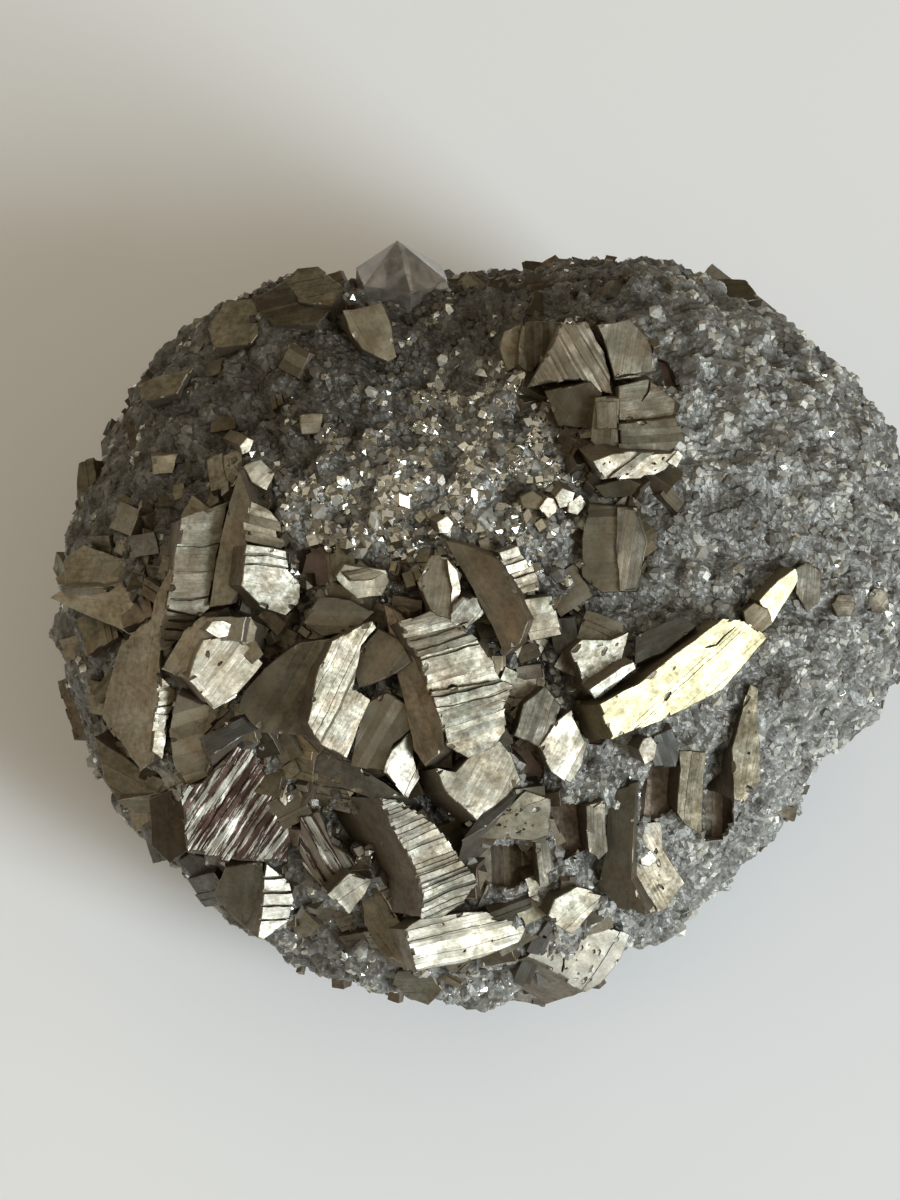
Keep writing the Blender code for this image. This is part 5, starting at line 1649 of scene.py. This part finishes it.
CORNER = (np.array(((0, 0, 1.0), (0.94, 0, -0.33), (-0.47, 0.82, -0.33), (-0.47, -0.82, -0.33))),
          np.array(((0, 1, 2), (0, 2, 3), (0, 3, 1), (1, 3, 2))))
OCTAHEDRON = (np.array(((1, 0, 0), (-1, 0, 0), (0, 1, 0), (0, -1, 0), (0, 0, 1.0), (0, 0, -1))),
              np.array(((0, 2, 4), (2, 1, 4), (1, 3, 4), (3, 0, 4), (2, 0, 5), (1, 2, 5), (3, 1, 5),
                        (0, 3, 5))))
CUBE = (np.array([(x, y, z) for x in (-1, 1) for y in (-1, 1) for z in (-1, 1)]) * CUBE_SHARE,
        np.array(((0, 1, 3), (0, 3, 2), (4, 6, 7), (4, 7, 5), (0, 4, 5), (0, 5, 1), (2, 3, 7), (2, 7, 6),
                  (0, 2, 6), (0, 6, 4), (1, 5, 7), (1, 7, 3))))


def ball():
    """Corners and triangles of a cuboctahedron, for the larger grains."""
    signs = [(x, y) for x in (-1, 1) for y in (-1, 1)]
    corners = [p for x, y in signs for p in ((x, y, 0), (x, 0, y), (0, x, y))]
    mesh = bmesh.new()
    for corner in corners:
        mesh.verts.new(corner)
    bmesh.ops.convex_hull(mesh, input=mesh.verts)
    bmesh.ops.triangulate(mesh, faces=mesh.faces)
    mesh.verts.index_update()
    sides = np.array([[vert.index for vert in face.verts] for face in mesh.faces])
    mesh.free()
    return np.array(corners) * BALL_SHARE, sides


BALL = ball()


def turned(chance, count):
    """Random turns, as matrices."""
    q = chance.normal(size=(count, 4))
    q /= np.linalg.norm(q, axis=1)[:, None]
    w, x, y, z = q.T
    return np.stack((
        np.stack((1 - 2 * (y * y + z * z), 2 * (x * y - z * w), 2 * (x * z + y * w)), 1),
        np.stack((2 * (x * y + z * w), 1 - 2 * (x * x + z * z), 2 * (y * z - x * w)), 1),
        np.stack((2 * (x * z - y * w), 2 * (y * z + x * w), 1 - 2 * (x * x + y * y)), 1),
    ), 1)


def druse_share(name, middles):
    """Which of the crust's triangles a piece of druse grows on."""
    away = middles - np.array(CENTRE)
    away /= np.linalg.norm(away, axis=1)[:, None]
    front = away @ np.array(TOWARD) > DRUSE_FRONT
    if name == "far_druse":
        return ~front
    return front & ((middles[:, 0] > DRUSE_MIDDLE) == (name == "druse_right"))


def read_values(items, name, width, kind):
    """A value, or a vector of some width, from each item of a mesh."""
    values = np.empty(len(items) * width, kind)
    items.foreach_get(name, values)
    return values.reshape(-1, width)


def crust_triangles(mesh):
    """The corners of each of the crust's triangles, and its material."""
    mesh.calc_loop_triangles()
    corners = read_values(mesh.loop_triangles, "vertices", 3, np.int32)
    points = read_values(mesh.vertices, "co", 3, np.float32)
    polygons = read_values(mesh.loop_triangles, "polygon_index", 1, np.int32)
    kinds = read_values(mesh.polygons, "material_index", 1, np.int32)
    return points[corners].astype(float), kinds[polygons[:, 0], 0]


def strewn(triangles, areas, count, chance):
    """Spots strewn evenly over triangles, and the number of the triangle that each lies in."""
    edges = np.cumsum(areas)
    draws = (np.arange(count) + chance.random(count)) / count * edges[-1]
    chosen = np.clip(np.searchsorted(edges, draws), 0, len(areas) - 1)
    a, b = chance.random((2, count))
    over = a + b > 1
    a[over], b[over] = 1 - a[over], 1 - b[over]
    first, second, third = (triangles[chosen, k] for k in range(3))
    return first + a[:, None] * (second - first) + b[:, None] * (third - first), chosen


def grain_shape(kind, size):
    """Corners and triangles of a grain: a ball if it is large, and else by a draw from 0 to 1."""
    if size > BALL_FROM:
        return BALL
    corners, octahedra = GRAIN_KINDS
    return CORNER if kind < corners else OCTAHEDRON if kind < octahedra else CUBE


def grain_tint(spot, bright, tone, draw):
    """The tint of a grain, from its own draw and, if it is dull, from a tone that its neighbours share."""
    if bright:
        return mixed(*BRIGHT_GRAINS, draw ** BRIGHT_BIAS)
    finer, finer_share = TONE_FINER
    shared = noise.noise(spot / TONE_WIDTH) + finer_share * noise.noise(spot / TONE_WIDTH / finer)
    shared = min(1.0, max(0.0, 0.5 + TONE_CONTRAST * shared))
    base, by_neighbours, by_draw = TONE_PARTS
    own = base + by_neighbours * shared + by_draw * draw
    return mixed(DARK_GRAIN, mixed(*PALE_GRAINS, min(1.0, tone * PALE_GAIN)), min(1.0, tone * own))


def make_druse(name, crust, solid_trees, chance, ways, tree):
    """Grains strewn evenly over a part of the crust, left out where a crystal covers them."""
    count = DRUSE_COUNTS[name]
    triangles, materials = crust_triangles(crust.data)
    crossed = np.cross(triangles[:, 1] - triangles[:, 0], triangles[:, 2] - triangles[:, 0])
    areas = np.linalg.norm(crossed, axis=1) / 2
    grown_over = druse_share(name, triangles.mean(1)) & (materials == 0)
    spots, chosen = strewn(triangles, np.where(grown_over, areas, 0.0), count, chance)
    outs = (crossed / np.maximum(areas * 2, LEAST_AREA)[:, None])[chosen]
    turns = turned(chance, count)
    kinds = chance.random(count)
    sizes = chance.gamma(GRAIN_EVENNESS, 1 / GRAIN_EVENNESS, count)
    shines = chance.random(count)
    draws = chance.random(count)
    stretches = chance.uniform(*GRAIN_STRETCH, (count, 3))
    verts, faces, tints, metals = [], [], [], []
    total = 0
    dark, lit = SHADE_PARTS
    for k in range(count):
        spot, out = Vector(spots[k]), Vector(outs[k])
        if any(inside(tree, spot) for tree in solid_trees):
            continue
        size, shine, tone = zone_at(spot, out)
        size *= min(sizes[k], GRAIN_MOST)
        corners, sides = grain_shape(kinds[k], size)
        grain = (corners * stretches[k]) @ turns[k].T * (GRAIN_SIZE * 0.5 * size)
        grain = grain + spots[k] - outs[k] * GRAIN_SUNK * min(size, SUNK_MOST)
        if grain[:, 2].min() < 0:
            continue
        verts.append(grain)
        faces.append(sides + total)
        total += len(grain)
        bright = shines[k] < shine
        # painted shade: a grain in a crack is made darker
        shade = min(1.0, dark + lit * openness(spot, out, ways, tree))
        tints += [[part * shade for part in grain_tint(spot, bright, tone, draws[k])] + [1.0]] * len(sides)
        metals += [float(bright)] * len(sides)
    data = bpy.data.meshes.new(name)
    data.from_pydata(np.concatenate(verts).tolist(), [], np.concatenate(faces).tolist())
    write_layer(data, "tint", np.array(tints).ravel(), "FLOAT_COLOR", "FACE")
    write_layer(data, "metal", metals, "FLOAT", "FACE")
    data.materials.append(druse_material())
    return add_object(name, data)


UPWARD = Vector((0.21, 0.13, 0.97)).normalized()  # any way that runs along no face


def inside(tree, spot):
    """Whether a spot lies well inside a closed shape."""
    found, normal = tree.ray_cast(spot, UPWARD)[:2]
    return found is not None and normal.dot(UPWARD) > 0 and tree.find_nearest(spot)[3] > WELL_INSIDE


def tree_of(pieces):
    """A search tree of some objects' faces."""
    mesh = bmesh.new()
    for piece in pieces:
        mesh.from_mesh(piece.data)
    tree = BVHTree.FromBMesh(mesh)
    mesh.free()
    return tree


# Quartz point
def quartz_matrix():
    """Where the quartz point stands: on the far rim, leaning away from the viewer."""
    axis = (RIGHT * QUARTZ_LEAN[0] + UP * QUARTZ_LEAN[1] + TOWARD * QUARTZ_LEAN[2]).normalized()
    return standing(surface_under(QUARTZ_PIXEL) - axis * QUARTZ_SUNK, axis, QUARTZ_TURN)


def quartz_mesh(extra):
    """The quartz point, thicker at its sides and deeper at its foot by extra."""
    mesh = bmesh.new()
    place = quartz_matrix()
    middle = Matrix.Translation((0, 0, QUARTZ_PRISM / 2 - extra))
    radius = QUARTZ_RADIUS + extra
    bmesh.ops.create_cone(mesh, cap_ends=True, segments=QUARTZ_SIDES, radius1=radius, radius2=radius,
                          depth=QUARTZ_PRISM, matrix=place @ middle)
    axis = place.to_3x3() @ Vector((0, 0, 1))
    top = max(mesh.faces, key=lambda face: face.calc_center_median().dot(axis))
    tip = bmesh.ops.poke(mesh, faces=[top])["verts"][0]
    tip.co = place @ Vector((QUARTZ_TIP_SHIFT, 0, QUARTZ_PRISM + QUARTZ_TIP))
    return mesh


# Materials
class Nodes:
    """Short ways to add nodes to a material and join them."""

    def __init__(self, name):
        self.material = bpy.data.materials.new(name)
        self.material.use_nodes = True
        self.tree = self.material.node_tree
        self.shader = self.tree.nodes["Principled BSDF"]

    def add(self, kind, inputs=(), **settings):
        """A node of that kind, with its settings, and its inputs as values or as outputs of other nodes."""
        made = self.tree.nodes.new("ShaderNode" + kind)
        for key, value in settings.items():
            setattr(made, key, value)
        for key, value in dict(inputs).items():
            self.set(made.inputs[key], value)
        return made

    def set(self, socket, value):
        """Joins an output to a socket, or sets the socket's value."""
        if isinstance(value, bpy.types.NodeSocket):
            self.tree.links.new(value, socket)
        else:
            socket.default_value = value

    def finished(self, inputs):
        """The material, with the shader's inputs given as values or as other nodes' outputs."""
        for key, value in inputs.items():
            self.set(self.shader.inputs[key], value)
        return self.material

    def place(self):
        """The place on the surface, in millimetres."""
        coordinates = self.add("TexCoord").outputs["Object"]
        return self.scaled(coordinates, (1 / MM,) * 3)

    def scaled(self, vector, by):
        """A vector with each part multiplied."""
        return self.add("VectorMath", {0: vector, 1: by}, operation="MULTIPLY").outputs[0]

    def noise(self, vector, scale, detail=3.0, roughness=0.6):
        """A noise value between 0 and 1."""
        inputs = {"Vector": vector, "Scale": scale, "Detail": detail, "Roughness": roughness}
        return self.add("TexNoise", inputs).outputs["Fac"]

    def ramp(self, value, low, high, out_low=0.0, out_high=1.0):
        """A value carried from one range to another, kept within it."""
        inputs = {"Value": value, "From Min": low, "From Max": high, "To Min": out_low, "To Max": out_high}
        return self.add("MapRange", inputs).outputs[0]

    def maths(self, operation, *values):
        """The result of a sum on values or outputs."""
        return self.add("Math", dict(enumerate(values)), operation=operation).outputs[0]

    def mix(self, share, first, second, blend="MIX"):
        """A colour mixed from two."""
        made = self.add("Mix", data_type="RGBA", blend_type=blend)
        self.set(made.inputs[0], share)
        for socket, value in ((made.inputs[6], first), (made.inputs[7], second)):
            self.set(socket, (*value, 1.0) if isinstance(value, tuple) else value)
        return made.outputs[2]

    def darker(self, colour, by, mask):
        """A colour multiplied by another where a mask says."""
        return self.mix(mask, colour, by, "MULTIPLY")

    def bumps(self, *layers):
        """A bumped normal from layers, each a height, a distance in millimetres and a strength."""
        normal = None
        for height, distance, strength in layers:
            inputs = {"Height": height, "Distance": distance * MM, "Strength": strength}
            if normal is not None:
                inputs["Normal"] = normal
            normal = self.add("Bump", inputs).outputs[0]
        return normal

    def attribute(self, name, output="Color"):
        """What a mesh attribute says."""
        return self.add("Attribute", attribute_name=name).outputs[output]


def metal_material():
    """Tarnished pyritic metal with growth lines, dull patches, fine specks, and painted shade in cracks and
    on walls.
    """
    n = Nodes("striated_metal")
    place = n.place()
    lines = n.attribute("lines", "Vector")
    fine = n.noise(n.scaled(lines, (7.0, 0.35, 1.0)), 1.0, 2.0, 0.55)
    broad = n.noise(n.scaled(lines, (2.2, 0.18, 1.0)), 1.0, 2.0, 0.5)
    patches = n.noise(place, 0.7, 4.0, 0.62)
    clouds = n.noise(place, 0.26, 2.0, 0.5)
    blush = n.noise(place, 0.45, 2.0, 0.5)
    specks = n.noise(place, 2.6, 3.0, 0.65)
    kind = n.attribute("tint", "Alpha")
    # painted highlight: pale slivers along the growth lines of slivered faces
    slivers = n.noise(n.scaled(lines, (2.3, 0.15, 1.0)), 1.0, 6.0, 0.72)
    slivers = n.maths("MULTIPLY", n.ramp(slivers, 0.515, 0.540), n.ramp(kind, 1.6, 2.0))
    tint = n.mix(slivers, n.attribute("tint"), SLIVER_HIGHLIGHT_TINT)
    # painted highlight: faces of kind BRIGHT and over are darkened less by the masks below
    strength = n.ramp(kind, 1.0, 1.4, 1.0, 0.55)
    for mask, colour in (
            (n.ramp(clouds, 0.38, 0.62, 0.0, 0.65), (0.72, 0.69, 0.64)),
            (n.ramp(patches, 0.38, 0.68, 0.0, 0.70), (0.64, 0.60, 0.52)),
            (n.ramp(blush, 0.47, 0.60, 0.0, 0.6), (1.0, 0.91, 0.82)),
            (n.ramp(blush, 0.32, 0.44, 0.6, 0.0), (0.90, 0.97, 0.93)),
            (n.ramp(specks, 0.42, 0.68, 0.0, 0.60), (0.55, 0.52, 0.46)),
            (n.ramp(fine, 0.5, 0.7, 0.0, 0.28), (0.6, 0.57, 0.51))):
        tint = n.darker(tint, colour, n.maths("MULTIPLY", mask, strength))
    # painted shade: the colour is darker where little light reaches, from each point's openness
    crack_shade = n.ramp(n.attribute("open", "Fac"), 0.05, 0.60, 0.6, 0.0)
    rough = n.maths("ADD", n.ramp(patches, 0.3, 0.7, 0.36, 0.54), n.ramp(specks, 0.35, 0.7, -0.03, 0.10))
    rough = n.maths("ADD", rough, n.ramp(kind, 0.3, 1.0, 0.16, 0.0))
    return n.finished({
        "Base Color": n.darker(tint, (0.72, 0.65, 0.56), crack_shade),
        "Metallic": n.ramp(kind, 0.3, 1.0, 0.85, 1.0),
        "Roughness": n.maths("ADD", rough, n.maths("MULTIPLY", crack_shade, 0.15)),
        "Normal": n.bumps((broad, 0.03, 0.8), (fine, 0.012, 0.8), (specks, 0.02, 0.8)),
    })


@cache
def crust_material():
    """Dull grey crust with fine grains, and painted shade in its cracks."""
    n = Nodes("crust")
    place = n.place()
    cells = n.add("TexVoronoi", {"Vector": place, "Scale": 2.3}, feature="F1")
    specks = n.noise(place, 3.5, 3.0, 0.7)
    base = n.mix(n.attribute("tone", "Fac"), (0.055, 0.046, 0.034), (0.36, 0.36, 0.335))
    base = n.darker(base, (0.35, 0.34, 0.32), n.ramp(cells.outputs["Color"], 0.2, 0.8, 0.0, 0.7))
    base = n.mix(n.ramp(specks, 0.55, 0.75, 0.0, 0.7), base, (0.30, 0.29, 0.25))
    # painted shade: the crust is darker where little light reaches, from each point's openness
    crack_shade = n.ramp(n.attribute("open", "Fac"), 0.10, 0.75, 0.7, 0.0)
    return n.finished({
        "Base Color": n.darker(base, (0.55, 0.49, 0.42), crack_shade),
        "Metallic": 0.5,
        "Specular IOR Level": 0.25,
        "Roughness": n.ramp(specks, 0.3, 0.7, 0.36, 0.60),
        "Normal": n.bumps((cells.outputs["Distance"], 0.12, 0.8), (specks, 0.06, 0.9)),
    })


@cache
def wall_material():
    """Brown walls of the pockets, the print of crystals that were there."""
    n = Nodes("pocket_wall")
    place = n.place()
    lines = n.noise(n.scaled(place, (0.3, 4.0, 4.0)), 1.0, 3.0, 0.6)
    specks = n.noise(place, 2.5, 3.0, 0.65)
    return n.finished({
        "Base Color": n.mix(n.ramp(specks, 0.35, 0.7), (0.34, 0.255, 0.21), (0.46, 0.37, 0.31)),
        "Metallic": 0.8,
        "Roughness": n.ramp(specks, 0.3, 0.7, 0.45, 0.60),
        "Normal": n.bumps((lines, 0.05, 0.8), (specks, 0.04, 0.8)),
    })


@cache
def druse_material():
    """Grains of the druse: bright ones are metal, the rest are dull."""
    n = Nodes("druse")
    metal = n.attribute("metal", "Fac")
    specks = n.noise(n.place(), 4.0, 2.0, 0.6)
    return n.finished({
        "Base Color": n.darker(n.attribute("tint"), (0.62, 0.58, 0.52), n.ramp(specks, 0.4, 0.7, 0.0, 0.5)),
        "Metallic": n.ramp(metal, 0.0, 1.0, 0.45, 1.0),
        "Roughness": n.ramp(metal, 0.0, 1.0, 0.60, 0.24),
        "Specular IOR Level": 0.25,
        "Normal": n.bumps((specks, 0.02, 0.6)),
    })


def quartz_material():
    """Brownish clear quartz with faint veils."""
    n = Nodes("smoky_quartz")
    place = n.place()
    veils = n.noise(place, 0.7, 3.0, 0.6)
    return n.finished({
        "Base Color": (0.70, 0.66, 0.60, 1.0),
        "IOR": 1.544,
        "Transmission Weight": n.ramp(veils, 0.40, 0.75, 0.90, 0.60),
        "Roughness": n.ramp(veils, 0.4, 0.7, 0.06, 0.22),
        "Normal": n.bumps((n.noise(n.scaled(place, (1.0, 5.0, 5.0)), 1.0), 0.02, 0.5)),
    })


def floor_material():
    """A plain pale table."""
    return Nodes("table").finished({
        "Base Color": (0.90, 0.91, 0.915, 1.0),
        "Roughness": 0.42,
        "Specular IOR Level": 0.35,
    })


# Surroundings
WINDOWS = (  # name, way to it from the nodule, distance, width and height, radiance, colour
    ("window", (0.671, -0.543, 0.490), 0.90, (0.22, 0.68), 17.6, (0.85, 0.94, 1.02)),
    ("pale_ceiling", (0.385, -0.269, 0.883), 0.80, (0.90, 0.90), 0.38, (1.0, 0.96, 0.84)),
    ("far_wall", (-0.497, 0.709, 0.500), 0.80, (0.80, 0.60), 0.72, (1.0, 0.915, 0.755)),
    ("left_wall", (-0.750, -0.300, 0.590), 0.70, (0.70, 0.60), 0.47, (1.0, 0.895, 0.72)),
)
WORLD_COLOUR = (0.186, 0.155, 0.109)
TABLE_REACH = 2.0


def make_camera():
    """The photograph's view."""
    data = bpy.data.cameras.new("camera")
    data.sensor_fit = "HORIZONTAL"
    data.sensor_width = SENSOR_WIDTH
    data.lens = SENSOR_WIDTH * VIEW_DISTANCE / (FRAME_PIXELS[0] * PIXEL)
    data.clip_start = CLIP_START
    camera = add_object("camera", data)
    camera.matrix_world = Matrix.Translation(EYE) @ axes(RIGHT, UP, TOWARD)
    bpy.context.scene.camera = camera


def make_lights():
    """A tall soft window to the right of the viewer, a pale ceiling and a far wall, in a dim warm room."""
    for name, way, distance, (width, height), radiance, colour in WINDOWS:
        data = bpy.data.lights.new(name, "AREA")
        data.shape = "RECTANGLE"
        data.size, data.size_y = width, height
        data.energy = radiance * math.pi * width * height
        data.color = colour
        way = Vector(way).normalized()
        side = Vector((0, 0, 1)).cross(way).normalized()
        light = add_object(name, data)
        light.matrix_world = Matrix.Translation(CENTRE + way * distance) @ axes(side, way.cross(side), way)
    world = bpy.data.worlds.new("room")
    world.use_nodes = True
    world.node_tree.nodes["Background"].inputs["Color"].default_value = (*WORLD_COLOUR, 1.0)
    bpy.context.scene.world = world
    bpy.context.scene.view_settings.view_transform = "Standard"


def make_floor():
    """The table, wide enough to fill every view."""
    mesh = bmesh.new()
    bmesh.ops.create_grid(mesh, x_segments=1, y_segments=1, size=TABLE_REACH)
    floor = new_object("table", mesh)
    floor.data.materials.append(floor_material())


def make_cutters():
    """The pockets, and the quartz point's socket together with all that is under the flat spot."""
    pockets, socket = new_collection("pockets"), new_collection("socket")
    add_pockets(pockets, random.Random(POCKET_SEED))
    mesh = quartz_mesh(SOCKET_GAP)
    with_layers(mesh)
    new_object("quartz_socket", mesh, socket)
    below_flat_spot(socket)
    return pockets, socket


def make_crystals(socket):
    """The three pieces of block crystals: the large and the small ones in view, and the hidden ones."""
    front, hidden = new_collection("front blocks"), new_collection("hidden blocks")
    ground, chips = new_collection("ground blocks"), new_collection("chips")
    chance = random.Random(BLOCK_SEED)
    add_table_crystals(front, chance)
    add_hidden_crystals(hidden, chance)
    add_details(front, random.Random(DETAIL_SEED))
    add_bed(ground, random.Random(BED_SEED))
    add_clutter(ground, hidden, random.Random(CLUTTER_SEED))
    add_chips(chips, random.Random(CHIP_SEED))
    add_gaps(chips)
    pieces = (joined("crystals", front, (chips, socket)), joined("small_crystals", ground, (socket,)),
              joined("far_crystals", hidden, (socket,)))
    clear_collection(chips)
    metal = metal_material()
    for piece in pieces:
        piece.data.materials.clear()
        piece.data.materials.append(metal)
    return pieces


def main():
    noise.seed_set(NOISE_SEED)
    make_camera()
    make_lights()
    make_floor()

    pockets, socket = make_cutters()
    crust = make_crust((pockets, socket))
    finish_crust(crust)
    blocks = make_crystals(socket)
    clear_collection(pockets)
    clear_collection(socket)
    grown = (crust, *blocks)
    tree, block_trees = tree_of(grown), [tree_of((block,)) for block in blocks]
    ways = open_ways(random.Random(OPEN_SEED))
    # painted shade: each piece's openness darkens its colour in cracks
    for piece in grown:
        add_openness(piece, ways, tree)
    chance = np.random.default_rng(DRUSE_SEED)
    druses = [make_druse(name, crust, block_trees, chance, ways, tree) for name in DRUSE_COUNTS]

    for piece in (*grown, *druses):
        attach(piece, "root")
        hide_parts("nodule")
    quartz = frame["nodes"]["quartz_point"]
    quartz.data.materials.clear()
    quartz.data.materials.append(quartz_material())

    bpy.context.view_layer.update()


main()
